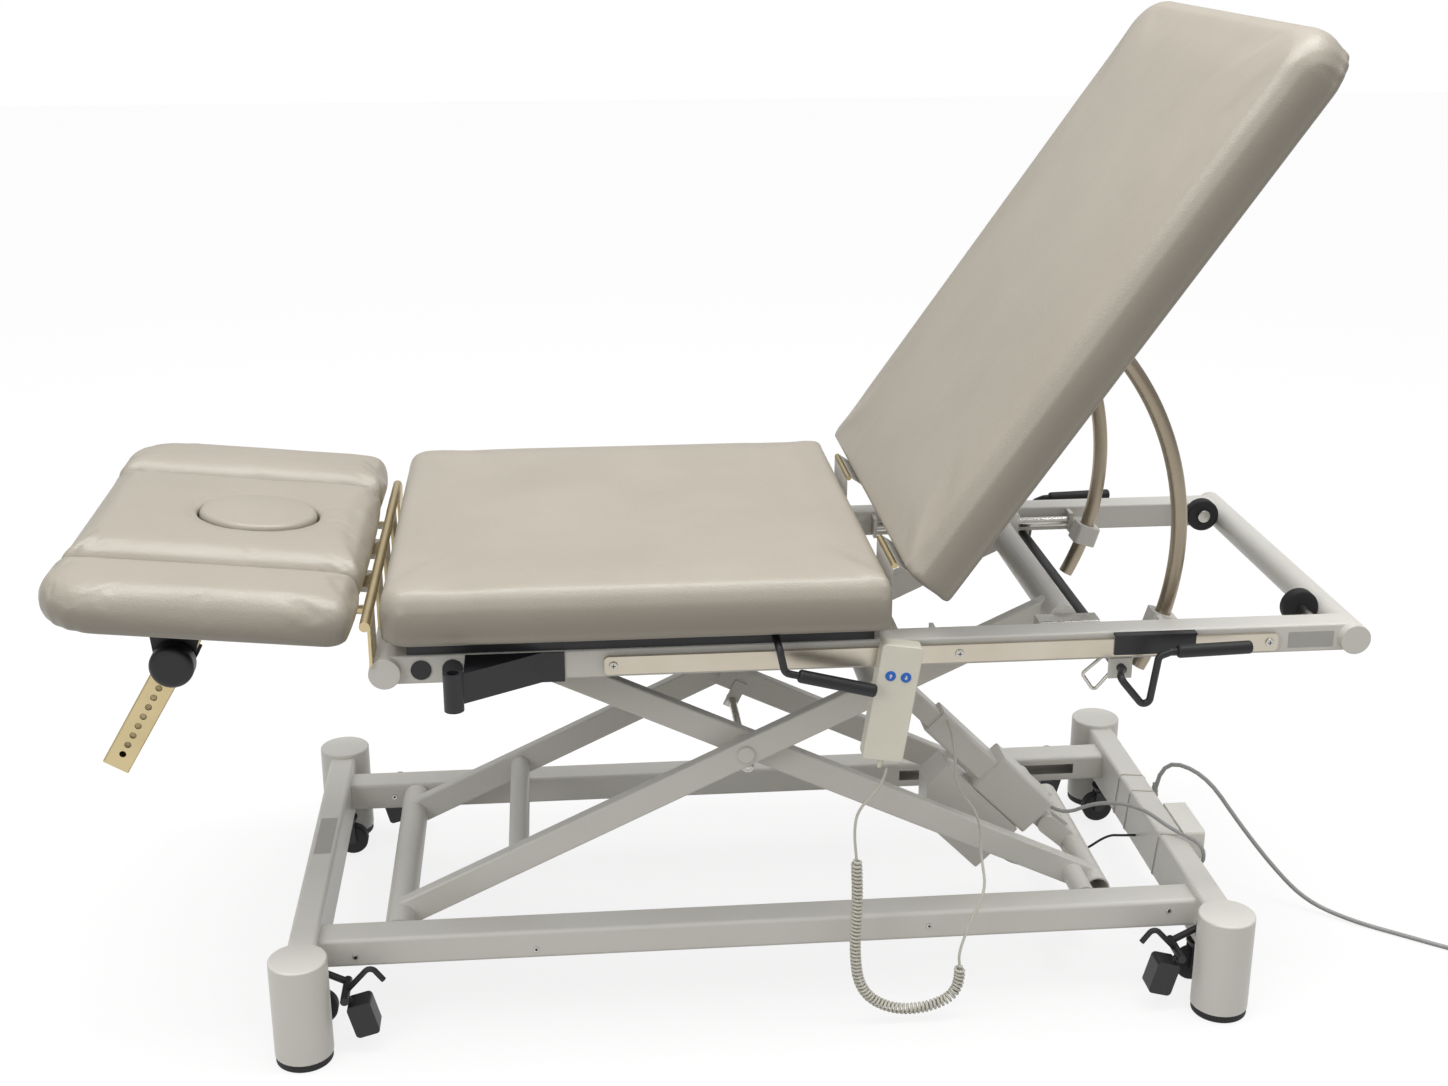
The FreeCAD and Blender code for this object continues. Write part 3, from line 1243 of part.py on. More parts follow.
def head_frame():
    x1 = head_hinge_x - head_bar_back
    x0 = head_hinge_x - head_bar_l
    z0 = seat_bottom - head_bar_s
    half = head_bar_s / 2
    pieces = [box(x1 - head_bar_s, x1, -head_arm_in + bracket_t, head_arm_in - bracket_t, z0, seat_bottom),
              box(x0, x0 + head_bar_s, -head_bar_y, head_bar_y, z0, seat_bottom)]
    post_top_x = post_x + (z0 - post_z) * math.tan(math.radians(post_lean))
    for side in (1, -1):
        pieces.append(box(x0, x1, side * head_bar_y - half, side * head_bar_y + half, z0, seat_bottom))
        pieces.append(box(post_top_x - post_w / 2 - bracket_t, post_top_x + post_w / 2 + bracket_t,
                          side * head_bar_y, side * (post_y + post_t / 2), z0, seat_bottom))
    leaf_x = head_hinge_x - head_barrel_d / 4
    strip_y = head_arm_in - bracket_t
    leaf = fuse([box(leaf_x - head_leaf_t, leaf_x, -head_hinge_w / 2, head_hinge_w / 2,
                     seat_bottom - head_tab_t, head_hinge_z),
                 box(x1, leaf_x, -strip_y, strip_y, seat_bottom - head_tab_t, seat_bottom)])
    side_leaf = hinge_tabs(head_hinge_x, head_hinge_z, leaf, 0, head_hinge_w, head_hinge_parts, 1,
                           head_barrel_d, head_pin_d, False)
    return head_turn([fuse(pieces), side_leaf])


def ellipse_bar(x, y, z0, z1, length, width):
    ring = Part.Ellipse(Vector(x, y, z0), length / 2, width / 2).toShape()
    return Part.Face(Part.Wire([ring])).extrude(Vector(0, 0, z1 - z0))


def head_cushion():
    x1 = head_hinge_x - head_gap
    pad = cushion(x1 - head_l, x1, head_arm_in - pad_gap, seat_bottom, head_h, head_inner_r, head_inner_r / 2)
    ledge_z = seat_bottom + plug_ledge_t
    pad = pad.cut(ellipse_bar(plug_x, 0, ledge_z, seat_bottom + 2 * head_h, plug_l + 2 * plug_gap,
                              plug_w + 2 * plug_gap))
    pad = pad.cut(ellipse_bar(plug_x, 0, 0, ledge_z + 1, plug_l - 2 * plug_ledge_w, plug_w - 2 * plug_ledge_w))
    return head_turn([pad])


def face_plug():
    top = seat_bottom + head_h
    plug = ellipse_bar(plug_x, 0, seat_bottom + plug_ledge_t, top, plug_l, plug_w)
    plug = domed(plug, crown, lambda p: p.z > top - 1)
    return head_turn([plug])


def armrest_posts():
    top = (seat_bottom - head_bar_s - post_z) / math.cos(math.radians(post_lean)) + post_w
    tube = tube_bar(-post_w / 2, post_w / 2, post_y - post_t / 2, post_y + post_t / 2, -post_down, top,
                    "z", cap_t, frame_wall)
    for i in range(post_holes):
        z = -post_first - i * post_pitch
        tube = tube.cut(rod_y(0, z, post_y, post_y + post_t, post_hole_d))
    tube = tube.cut(rod_y(0, 0, post_y, post_y + post_t, post_hole_d))
    foot = box(-post_w / 2, post_w / 2, post_y - post_t / 2, post_y + post_t / 2, -post_down - cap_t,
               -post_down)
    pieces = [place(tube, post_x, post_z, -post_lean), place(foot, post_x, post_z, -post_lean)]
    pieces[0] = pieces[0].cut(box(post_x - head_l, post_x + head_l, 0, column_y, seat_bottom - head_bar_s,
                                  seat_bottom + head_h))
    return head_turn([s for piece in pieces for s in both_sides(piece)])


def armrest_bracket():
    """The far side's bracket: a sleeve round the post and a shelf under the pad."""
    half_h = bracket_h / 2
    sleeve = box(-post_w / 2 - bracket_t, post_w / 2 + bracket_t, post_y - post_t / 2 - bracket_t,
                 head_arm_in, -half_h, half_h)
    sleeve = sleeve.cut(box(-post_w / 2 - slide_gap, post_w / 2 + slide_gap, post_y - post_t / 2 - slide_gap,
                            post_y + post_t / 2 + slide_gap, -head_l, head_l))
    bore = rod_y(0, 0, post_y, head_arm_in + knob_l, plunger_d + 2 * run_gap)
    sleeve = place(sleeve.cut(bore), post_x, post_z, -post_lean)
    web = plate([(post_x - bracket_h / 2 - bracket_t, post_z), (post_x + bracket_h / 2, post_z - bracket_h / 4),
                 (post_x + bracket_h, seat_bottom), (post_x - bracket_h, seat_bottom)],
                head_arm_in, head_arm_in + bracket_t)
    web = web.cut(place(bore, post_x, post_z, -post_lean))
    shelf = box(post_x - shelf_l / 2, post_x + shelf_l / 2, head_arm_in, head_arm_in + shelf_w,
                seat_bottom - bracket_t, seat_bottom)
    return head_turn([fuse([sleeve, web, shelf])])


def armrest_pad():
    x1 = head_hinge_x - head_gap
    low, high = head_arm_in + pad_gap / 2, cushion_half
    mid = (low + high) / 2
    pad = cushion(x1 - head_l, x1, (high - low) / 2, seat_bottom, head_h, head_inner_r, head_inner_r / 2)
    pad.translate(Vector(0, mid, 0))
    return head_turn([round_outer(pad, x1 - head_l, high)])


def round_outer(pad, x_end, y_end):
    """Cuts the pad's far corner to the large radius of the photographed head section."""
    r = head_outer_r
    block = box(x_end - overrun, x_end + r, y_end - r, y_end + overrun, 0, seat_bottom + 2 * head_h)
    return pad.cut(block.cut(rod_z(x_end + r, y_end - r, 0, seat_bottom + 2 * head_h, 2 * r)))


def armrest_knob():
    """Drawn pulled out, its plunger just clear of the post, so that the pad can slide."""
    face = head_arm_in + bracket_t + slide_gap + knob_out
    knob = rod_y(0, 0, face, face + knob_l, knob_d)
    knob = domed(knob, knob_l / 3, lambda p: p.y > face + 1)
    pin = rod_y(0, 0, post_y + post_t / 2 + plunger_gap, face, plunger_d)
    return head_turn([place(fuse([knob, pin]), post_x, post_z, -post_lean)])


# Hand control, drawn upright and then leaned
def lean(shapes):
    return [turn(s, handset_x, handset_top, -handset_lean) for s in shapes]


def handset_back_y():
    return -(frame_y + frame_s / 2 + accessory_off + accessory_t + handset_gap)


def handset():
    back = handset_back_y()
    front = back - handset_t
    half = handset_w / 2
    body = round_bar(handset_x - half, handset_x + half, front, back, handset_top - handset_h, handset_top,
                     "y", bar_edge)
    body = body.makeFillet(bar_edge / 3, [e for e in body.Edges if abs(e.CenterOfMass.y - front) < slide_gap])
    inner = round_bar(handset_x - half + handset_wall, handset_x + half - handset_wall, front + handset_wall,
                      back - handset_wall, handset_top - handset_h + handset_wall, handset_top - handset_wall,
                      "y", bar_edge - handset_wall)
    shell = body.cut(inner)
    split = (front + back) / 2
    for x, z in button_places():
        shell = shell.cut(rod_y(x, z, front - overrun, split, button_d + slide_gap))
    front_half = shell.common(box(handset_x - handset_h, handset_x + handset_h, front, split,
                                  handset_top - 2 * handset_h, handset_top))
    back_half = shell.common(box(handset_x - handset_h, handset_x + handset_h, split, back,
                                 handset_top - 2 * handset_h, handset_top))
    board = box(handset_x - half + 2 * handset_wall, handset_x + half - 2 * handset_wall, split,
                back - handset_wall, handset_top - button_drop - button_step, handset_top - 3 * handset_wall)
    relief = Part.makeCone(relief_d / 2, wire_d / 2 + slide_gap * 4, relief_l,
                           Vector(handset_x, split, handset_top - handset_h), Vector(0, 0, -1))
    pieces = lean([front_half, back_half, board, relief])
    slot_y = -(frame_y + frame_s / 2) - accessory_off / 2
    low, high = frame_z, frame_z + accessory_h / 2 + handset_gap
    bridge = box(hook_x - hook_w / 2, hook_x + hook_w / 2, back, slot_y + hook_t / 2, high, high + hook_t)
    lip = box(hook_x - hook_w / 2, hook_x + hook_w / 2, slot_y - hook_t / 2, slot_y + hook_t / 2,
              low, high + hook_t)
    pieces.append(fuse([bridge, lip]))
    return pieces


def button_places():
    z = handset_top - button_drop
    return [(handset_x - button_step / 2, z), (handset_x + button_step / 2, z)]


def handset_button(x, z):
    front = handset_back_y() - handset_t
    cap = rod_y(x, z, front - button_h / 2, front + handset_wall, button_d)
    cap = domed(cap, button_h / 4, lambda p: p.y < front)
    flange = rod_y(x, z, front + handset_wall + slide_gap / 3, front + 2 * handset_wall, button_d + handset_wall)
    neck = rod_y(x, z, front, front + 2 * handset_wall, button_d - handset_wall)
    return lean([fuse([cap, neck, flange])])


# Cords
def curl_tube():
    """The hand control's curled cord: one wire wound about its route, straight at both ends."""
    route = bend_path(curl_route, soft_radii(curl_route))
    spots = route.discretize(Number=int(route.Length) + 1)
    step = route.Length / (len(spots) - 1)
    mean_r = (curl_d - wire_d) / 2
    wound = route.Length - 2 * curl_tail
    count = int(wound / curl_pitch)

    def axis(s):
        place_s = max(0.0, min(len(spots) - 1.001, s / step))
        i = int(place_s)
        return spots[i].add(spots[i + 1].sub(spots[i]) * (place_s - i))

    def curve(s):
        along = way_at(axis, max(step, min(route.Length - step, s)), step)
        side = Vector(0, 1, 0)
        out = along.cross(side)
        from_end = min(s, route.Length - s) - curl_tail
        rise_share = (1 - math.cos(math.pi * max(0.0, min(1.0, from_end / curl_lead)))) / 2
        phase = 2 * math.pi * count * (s - curl_tail) / wound
        return axis(s).add((out * math.cos(phase) + side * math.sin(phase)) * (mean_r * rise_share))

    places = [curl_tail + wound * i / (2 * count) for i in range(2 * count + 1)]
    points = [curve(s) for s in places]
    ways = [way_at(curve, s, step / 100) for s in places]
    ways[0] = way_at(axis, step, step)
    ways[-1] = way_at(axis, route.Length - step, step)
    edges = [Part.LineSegment(spots[0], points[0]).toShape()] + biarcs(points, ways)
    edges.append(Part.LineSegment(points[-1], spots[-1]).toShape())
    path = Part.Wire(edges)
    self_gap(path, wire_d, "curl of " + str(count))
    return tube_along(path, spots[0], points[0], wire_d)


def on_actuator(s, n, y):
    """A point given along the actuator from its clevis pin and towards the motor's side."""
    a = math.radians(push_deg)
    return (clevis_x + s * math.cos(a) - n * math.sin(a), y, clevis_z + s * math.sin(a) + n * math.cos(a))


def inner_cables():
    grey = [on_actuator(*spot) for spot in grey_start] + grey_route
    black = [on_actuator(*spot) for spot in black_start] + black_route
    return [cord(grey, cable_d, "grey cable"), cord(black, lead_d, "black lead")]


def coil_entry():
    """Where the mains cord meets its coil, its direction there, and the coil's middle."""
    start, before = Vector(*mains_route[-1]), Vector(*mains_route[-2])
    way = start.sub(before).normalize()
    middle = start.add(Vector(way.y, -way.x, 0) * coil_r)
    return start, way, middle


def coil_end(along, rise_z):
    """A point of the coil's free end, given along its direction and up from its last layer."""
    start, way, middle = coil_entry()
    grown = coil_pitch * coil_climb_share
    outward = start.sub(middle).normalize()
    lift_z = coil_layer * (coil_layers - 1) + rise_z
    return start.add(outward * grown).add(way * along).add(Vector(0, 0, lift_z))


def mains_coil():
    """The spare mains cord: layers of flat turns, in and out by turns, as one tube."""
    start, way, middle = coil_entry()
    first = math.atan2(start.y - middle.y, start.x - middle.x)
    per_layer = coil_turns + coil_climb_share
    total = per_layer * coil_layers

    def curve(turn_no):
        layer = min(coil_layers - 1, int(max(0.0, turn_no) / per_layer))
        done = turn_no - layer * per_layer
        last = layer == coil_layers - 1
        wound = done if last else min(done, coil_turns)
        if layer % 2 == 0:
            r = coil_r - coil_pitch * wound
        else:
            r = coil_r - coil_pitch * coil_turns + coil_pitch * wound
        climb_share = 0.0 if last else max(0.0, done - coil_turns) / coil_climb_share
        z = start.z + coil_layer * (layer + (1 - math.cos(math.pi * climb_share)) / 2)
        angle = first - 2 * math.pi * turn_no
        return Vector(middle.x + r * math.cos(angle), middle.y + r * math.sin(angle), z)

    places = [i / 4 for i in range(int(4 * total) + 1)]
    points = [curve(t) for t in places]
    ways = [way_at(curve, t, 1 / 1000) for t in places]
    ways[0] = ways[-1] = way
    tail = [tuple(points[-1])] + [tuple(coil_end(along, up)) for along, up in coil_tail]
    path = Part.Wire(biarcs(points, ways) + bend_path(tail, soft_radii(tail)).Edges)
    self_gap(path, mains_d, "coil of " + str(total))
    return [tube_along(path, start, start.add(way), mains_d)]


def mains_plug():
    """The plug lies flat on the floor at the coil's free end."""
    start, way, middle = coil_entry()
    end = coil_end(*coil_tail[-1])
    body = round_bar(0, plug_body_l, -plug_body_w / 2, plug_body_w / 2, -plug_body_h / 2, plug_body_h / 2,
                     "x", bar_edge)
    pins = []
    for side in (1, -1):
        pins.append(rod_x(side * plug_pin_step / 2, 0, plug_body_l, plug_body_l + plug_pin_l, plug_pin_d))
    plug = fuse([body] + pins)
    plug.rotate(Vector(0, 0, 0), Vector(0, 0, 1), math.degrees(math.atan2(way.y, way.x)))
    plug.translate(end)
    return [plug]


keep("base_columns", base_columns())
keep("rubber_feet", base_feet())
keep("base_cross_beams", base_cross_beams())
keep("base_long_rails", base_long_rails())
keep("control_box", control_box())
for corner, shape in corners(pedal()).items():
    keep("pedal_" + corner, shape)
for corner, shape in corners(castor_carriage()).items():
    keep("castor_carriage_" + corner, shape)
for corner, shape in corners(castor_fork()).items():
    keep("castor_fork_" + corner, shape)
for corner, shape in corners(castor_wheel()).items():
    keep("castor_wheel_" + corner, shape)
keep("outer_lift_arms", outer_lift())
keep("inner_lift_arms", inner_lift())
keep("lower_slider_blocks", lower_blocks())
keep("upper_slider_blocks", upper_blocks())
keep("actuator_housing", actuator_housing())
keep("actuator_motor", actuator_motor())
keep("actuator_column", actuator_column())
keep("frame_side_rails", frame_side_rails())
keep("frame_end_tubes", frame_end_tubes())
keep("frame_fittings", frame_fittings())
keep("arc_clamps", arc_clamps())
keep("accessory_rail", accessory_rail())
keep("accessory_socket", accessory_socket())
keep("bumpers", bumpers())
keep("seat_cushion", seat_cushion())
keep("release_levers", release_levers())
keep("head_lever", head_lever())
keep("back_frame", back_frame())
keep("arc_tubes", arc_tubes())
keep("back_cushion", back_cushion())
keep("head_frame", head_frame())
keep("head_cushion", head_cushion())
keep("face_plug", face_plug())
keep("armrest_posts", armrest_posts())
for side, flip in (("far", False), ("near", True)):
    for name, shapes in (("armrest_bracket_", armrest_bracket()), ("armrest_pad_", armrest_pad()),
                         ("armrest_knob_", armrest_knob())):
        keep(name + side, [mirror_y(s) if flip else s for s in shapes])
keep("handset", handset())
keep("button_up", handset_button(*button_places()[0]))
keep("button_down", handset_button(*button_places()[1]))
keep("handset_cord", [cord(drop_route, wire_d, "handset wire"), cord(return_route, wire_d, "return wire")])
keep("handset_curl", curl_tube())
keep("inner_cables", inner_cables())
keep("mains_cord", [cord(mains_route, mains_d, "mains cord")])
keep("mains_coil", mains_coil())
keep("mains_plug", mains_plug())

os.makedirs("parts", exist_ok=True)
for name, solids in nodes.items():
    model = Part.makeCompound(solids)
    model.translate(Vector(base_x, 0, 0))
    model.exportStep("parts/" + name + ".step")

print(len(nodes), "nodes")
print("crossing", round(cross_x, 2), round(cross_z, 2), "rise", round(rise_deg, 3))
print("outer_top", outer_top, "inner_top", inner_top, "inner_low", inner_low)
print("push", push_x, push_z, push_l, push_deg)
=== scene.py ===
# %% [markdown]
# # A treatment table on a scissor lift
#
# The table has an upholstered seat, a raised back section and a three-part head section.
# They stand on welded steel tube, and a motor lifts it all on crossed arms. The rigid
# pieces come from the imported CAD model, so this lesson gives them their finishes, sews
# and fills the upholstery, lays the cords and adds the small things that catch the eye.
#
# Lengths are in metres, with +X towards the back section and +Z up. The sizes that repeat
# those of the CAD model are given from the middle of the base, as they are there.

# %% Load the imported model
import math

import bmesh
import bpy
from mathutils import Matrix, Vector


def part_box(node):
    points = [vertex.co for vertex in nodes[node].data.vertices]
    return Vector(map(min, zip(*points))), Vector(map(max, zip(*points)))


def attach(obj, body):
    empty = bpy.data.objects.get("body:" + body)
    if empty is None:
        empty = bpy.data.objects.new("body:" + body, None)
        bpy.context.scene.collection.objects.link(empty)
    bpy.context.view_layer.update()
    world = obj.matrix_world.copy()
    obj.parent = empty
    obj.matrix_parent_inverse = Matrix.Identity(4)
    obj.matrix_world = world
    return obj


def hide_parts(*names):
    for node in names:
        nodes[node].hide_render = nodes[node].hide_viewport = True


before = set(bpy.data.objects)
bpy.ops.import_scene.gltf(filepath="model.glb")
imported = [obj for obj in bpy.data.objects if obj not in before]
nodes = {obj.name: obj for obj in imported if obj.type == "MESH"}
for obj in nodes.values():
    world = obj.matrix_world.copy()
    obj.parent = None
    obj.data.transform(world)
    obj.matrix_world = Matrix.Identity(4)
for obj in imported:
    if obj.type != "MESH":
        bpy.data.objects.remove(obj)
scene = bpy.context.scene
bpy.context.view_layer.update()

# %% [markdown]
# ## Places
#
# The CAD model is drawn about the middle of the base and then moved along X, so that its
# bounding box is centred. A small function makes the same move, and a second one turns a
# shape about a hinge, because the back and head sections are drawn flat and then raised.

# %% Two functions for places
base_x = 0.0597


def placed(x, y, z):
    """A point given from the middle of the base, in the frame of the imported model."""
    return Vector((x + base_x, y, z))


def raised_about(x, z, degrees):
    """The turn about a hinge that runs across the table; a positive angle lifts +X."""
    hinge = placed(x, 0, z)
    turn = Matrix.Rotation(math.radians(degrees), 4, Vector((0, -1, 0)))
    return Matrix.Translation(hinge) @ turn @ Matrix.Translation(-hinge)


back_hinge = (0.170, 0.665)
head_hinge = (-0.530, 0.622)
handset_hook = (0.173, 0.576)

back_raised = raised_about(*back_hinge, 55.0)
head_raised = raised_about(*head_hinge, -5.75)
handset_leaned = raised_about(*handset_hook, -8.4)

# %% [markdown]
# ## The camera
#
# The photograph was taken from a standing person's eye height, a little left of the
# middle. Height, tilt and lens were solved from the straight tubes of the frame, so a
# plain camera at that place gives the same picture.

# %% The camera
camera_data = bpy.data.cameras.new("photo_camera")
camera_data.sensor_width = 36
camera_data.lens = 47.09
camera = bpy.data.objects.new("photo_camera", camera_data)
camera.location = placed(-0.278, -2.613, 1.524)
camera.rotation_euler = (math.radians(90 - 19.12), 0, math.radians(-5.30))
scene.collection.objects.link(camera)
scene.camera = camera
scene.view_settings.view_transform = "Standard"

# %% [markdown]
# ## Colours and nodes
#
# A shader wants linear values, but a finish is easier to name by its screen colour, so a
# function converts the usual hex code. A second function adds a shader node: an input
# that is given another node's output is linked, and any other input is set.
#
# Every finish has a colour between two tones, and a surface with its gloss and relief, so
# two more functions make those.

# %% Colour and node helpers


def colour(code):
    """The linear values of an sRGB hex code."""
    shares = [int(code[i:i + 2], 16) / 255 for i in (1, 3, 5)]
    linear = [s / 12.92 if s <= 0.04045 else ((s + 0.055) / 1.055) ** 2.4 for s in shares]
    return (*linear, 1.0)


def add(tree, kind, inputs=None, **settings):
    """Adds one shader node with its settings, values and links."""
    made = tree.nodes.new("ShaderNode" + kind)
    for name, value in settings.items():
        setattr(made, name, value)
    for name, value in (inputs or {}).items():
        if isinstance(value, bpy.types.NodeSocket):
            tree.links.new(value, made.inputs[name])
        else:
            made.inputs[name].default_value = value
    return made


def two_tones(tree, share, first, second):
    """A colour between two hex codes."""
    return add(tree, "MixRGB", {"Fac": share, "Color1": colour(first), "Color2": colour(second)})


def surface(tree, tone, gloss, bump, more=None):
    """Ends a finish: its tone, gloss and relief, and more inputs of the shader by name."""
    shader = add(tree, "BsdfPrincipled", {
        "Base Color": tone.outputs["Color"], "Roughness": gloss.outputs["Result"],
        "Normal": bump.outputs["Normal"], **(more or {})})
    add(tree, "OutputMaterial", {"Surface": shader.outputs["BSDF"]})


def empty_material(name):
    """A material with no nodes yet, and its node tree."""
    material = bpy.data.materials.new(name)
    material.use_nodes = True
    material.node_tree.nodes.clear()
    return material, material.node_tree


# %% [markdown]
# ## Upholstery vinyl
#
# The covers are a soft grey-brown PVC leathercloth, embossed with a fine hide grain and
# calendered to a low, slightly silky gloss. The emboss is about a millimetre wide, which
# no render at this size can show, so it is drawn at two and a half. A broad, faint change
# of tone stands for the way that stretched cloth pales over the foam.

# %% Vinyl
grain_width = 0.0025
stretch_width = 0.16

vinyl, tree = empty_material("embossed_vinyl")
where = add(tree, "TexCoord").outputs["Object"]
stretch = add(tree, "TexNoise", {"Vector": where, "Scale": 1 / stretch_width, "Detail": 3.0})
tone = two_tones(tree, stretch.outputs["Fac"], "#90897D", "#9D968A")
grain = add(tree, "TexVoronoi", {"Vector": where, "Scale": 1 / grain_width, "Randomness": 1.0})
creases = add(tree, "TexNoise", {"Vector": where, "Scale": 1 / (12 * grain_width), "Detail": 4.0})
relief = add(tree, "Math", {0: grain.outputs["Distance"], 1: creases.outputs["Fac"]},
             operation="ADD")
bump = add(tree, "Bump", {"Height": relief.outputs["Value"], "Strength": 0.22, "Distance": 0.0008})
gloss = add(tree, "MapRange", {"Value": creases.outputs["Fac"], "To Min": 0.33, "To Max": 0.43})
surface(tree, tone, gloss, bump, {"Specular IOR Level": 0.6})

# %% [markdown]
# ## Powder coat
#
# Every welded tube has the same pale grey powder coat. Baked powder never flows quite
# flat: it keeps a faint orange peel, a few millimetres from crest to crest, and that soft
# ripple in the highlights is what tells the eye that this is paint on steel.

# %% Powder coat
peel_width = 0.004


def powder_coat(name, light, dark, roughness):
    """Baked powder on steel, with its orange peel."""
    material, tree = empty_material(name)
    where = add(tree, "TexCoord").outputs["Object"]
    cloud = add(tree, "TexNoise", {"Vector": where, "Scale": 5.0, "Detail": 4.0})
    tone = two_tones(tree, cloud.outputs["Fac"], dark, light)
    peel = add(tree, "TexNoise", {"Vector": where, "Scale": 1 / peel_width, "Detail": 2.0})
    bump = add(tree, "Bump", {"Height": peel.outputs["Fac"], "Strength": 0.25, "Distance": 0.0006})
    gloss = add(tree, "MapRange", {"Value": peel.outputs["Fac"], "To Min": roughness - 0.05,
                                   "To Max": roughness + 0.08})
    surface(tree, tone, gloss, bump)
    return material


pale_paint = powder_coat("pale_powder_coat", "#E2E0DA", "#D9D6CE", 0.36)
black_paint = powder_coat("black_powder_coat", "#26262A", "#1B1B1E", 0.42)

# %% [markdown]
# ## Bare and plated steel
#
# Three metals show. The accessory rail is ground stainless bar, the arcs are drawn tube
# that has gone slightly brown, and the arm-rest posts have the yellow passivation of zinc
# plate. Each keeps the default IOR, and long fine noise along the piece stands for the
# marks of grinding or drawing.

# %% Steel


def worked_steel(name, light, dark, roughness, stretch):
    """Metal with marks that run along it: stretch gives how long they are on each axis."""
    material, tree = empty_material(name)
    where = add(tree, "TexCoord").outputs["Object"]
    along = add(tree, "Mapping", {"Vector": where, "Scale": stretch})
    marks = add(tree, "TexNoise", {"Vector": along.outputs["Vector"], "Scale": 1.0, "Detail": 3.0})
    tint = add(tree, "TexNoise", {"Vector": where, "Scale": 9.0, "Detail": 3.0})
    tone = two_tones(tree, tint.outputs["Fac"], dark, light)
    gloss = add(tree, "MapRange", {"Value": marks.outputs["Fac"], "To Min": roughness - 0.08,
                                   "To Max": roughness + 0.12})
    bump = add(tree, "Bump", {"Height": marks.outputs["Fac"], "Strength": 0.08,
                              "Distance": 0.0003})
    surface(tree, tone, gloss, bump, {"Metallic": 1.0})
    return material


ground_steel = worked_steel("ground_stainless", "#D2CBBE", "#B9AF9C", 0.30, (8.0, 900.0, 900.0))
drawn_steel = worked_steel("drawn_steel_tube", "#A79C8B", "#8A7E6B", 0.30, (250.0, 900.0, 250.0))
yellow_zinc = worked_steel("yellow_zinc_plate", "#D9C9A0", "#BFAB80", 0.34, (60.0, 60.0, 60.0))
bright_zinc = worked_steel("bright_zinc_plate", "#CFCDC8", "#B5B2AA", 0.26, (90.0, 90.0, 90.0))

# %% [markdown]
# ## Rubber and moulded plastic
#
# Rubber scatters almost all the light that it takes in, so the feet, tyres and grips stay
# rough, with the dust that they pick up. The hand control, its buttons and the junction
# box are injection moulded ABS: smooth, with a very fine spark-eroded texture.

# %% Rubber and plastic


def moulded(name, base, second, roughness, texture_width, depth):
    """A moulded piece with a fine even texture."""
    material, tree = empty_material(name)
    where = add(tree, "TexCoord").outputs["Object"]
    broad = add(tree, "TexNoise", {"Vector": where, "Scale": 30.0, "Detail": 4.0})
    tone = two_tones(tree, broad.outputs["Fac"], base, second)
    texture = add(tree, "TexNoise", {"Vector": where, "Scale": 1 / texture_width, "Detail": 2.0})
    bump = add(tree, "Bump", {"Height": texture.outputs["Fac"], "Strength": 0.3,
                              "Distance": depth})
    gloss = add(tree, "MapRange", {"Value": broad.outputs["Fac"], "To Min": roughness - 0.05,
                                   "To Max": roughness + 0.07})
    surface(tree, tone, gloss, bump)
    return material


black_rubber = moulded("black_rubber", "#151517", "#232325", 0.68, 0.002, 0.0004)
grip_foam = moulded("black_grip", "#101012", "#1B1B1D", 0.50, 0.0015, 0.0003)
black_plastic = moulded("black_nylon", "#121214", "#1D1D20", 0.40, 0.0015, 0.0002)
cream_plastic = moulded("cream_abs", "#F1EEDF", "#E8E5D5", 0.38, 0.0012, 0.0001)
blue_plastic = moulded("blue_button_abs", "#1463C8", "#1A6CD2", 0.22, 0.002, 0.00005)
white_plastic = moulded("white_abs", "#F3F1EA", "#EAE8E0", 0.40, 0.0012, 0.0001)
white_ink = moulded("white_print", "#F2F2F0", "#ECECEA", 0.45, 0.002, 0.00003)
pale_sheath = moulded("pale_pvc_sheath", "#D6D3C8", "#CAC7BB", 0.38, 0.003, 0.0001)
grey_sheath = moulded("grey_pvc_sheath", "#A9A9A8", "#9C9C9B", 0.42, 0.003, 0.0001)
black_sheath = moulded("black_pvc_sheath", "#141416", "#1D1D1F", 0.42, 0.003, 0.0001)
bare_plate = moulded("bare_foil_plate", "#B7B5AF", "#A9A7A1", 0.33, 0.004, 0.00005)
dust_cloth = moulded("black_dust_cloth", "#1A1A1B", "#252526", 0.85, 0.0012, 0.0005)

# %% [markdown]
# ## Finishes for the CAD pieces
#
# The rigid pieces already have the right shapes, so each keeps its mesh and only gets its
# finish. One list of finishes with the pieces that have each reads like a paint shop's
# order.

# %% Give each CAD piece its finish
finishes = {
    pale_paint: ["base_cross_beams", "base_long_rails", "base_columns", "outer_lift_arms",
                 "inner_lift_arms", "frame_side_rails", "frame_end_tubes", "frame_fittings",
                 "arc_clamps", "back_frame", "head_frame", "actuator_housing",
                 "actuator_column", "actuator_motor"],
    black_paint: ["accessory_socket", "armrest_bracket_far", "armrest_bracket_near"],
    black_rubber: ["rubber_feet", "bumpers"],
    grip_foam: ["release_levers", "head_lever"],
    black_plastic: ["lower_slider_blocks", "armrest_knob_far", "armrest_knob_near"],
    ground_steel: ["accessory_rail"],
    drawn_steel: ["arc_tubes"],
    yellow_zinc: ["armrest_posts"],
    bright_zinc: ["upper_slider_blocks"],
    white_plastic: ["control_box"],
    cream_plastic: ["handset"],
    blue_plastic: ["button_up", "button_down"],
    grey_sheath: ["mains_plug"],
}
for corner in ("right_far", "right_near", "left_far", "left_near"):
    finishes[black_paint] += ["pedal_" + corner, "castor_fork_" + corner]
    finishes[black_plastic] += ["castor_carriage_" + corner]
    finishes[black_rubber] += ["castor_wheel_" + corner]
for finish, names in finishes.items():
    for name in names:
        nodes[name].data.materials.clear()
        nodes[name].data.materials.append(finish)
print("finished", sum(len(names) for names in finishes.values()), "CAD pieces")

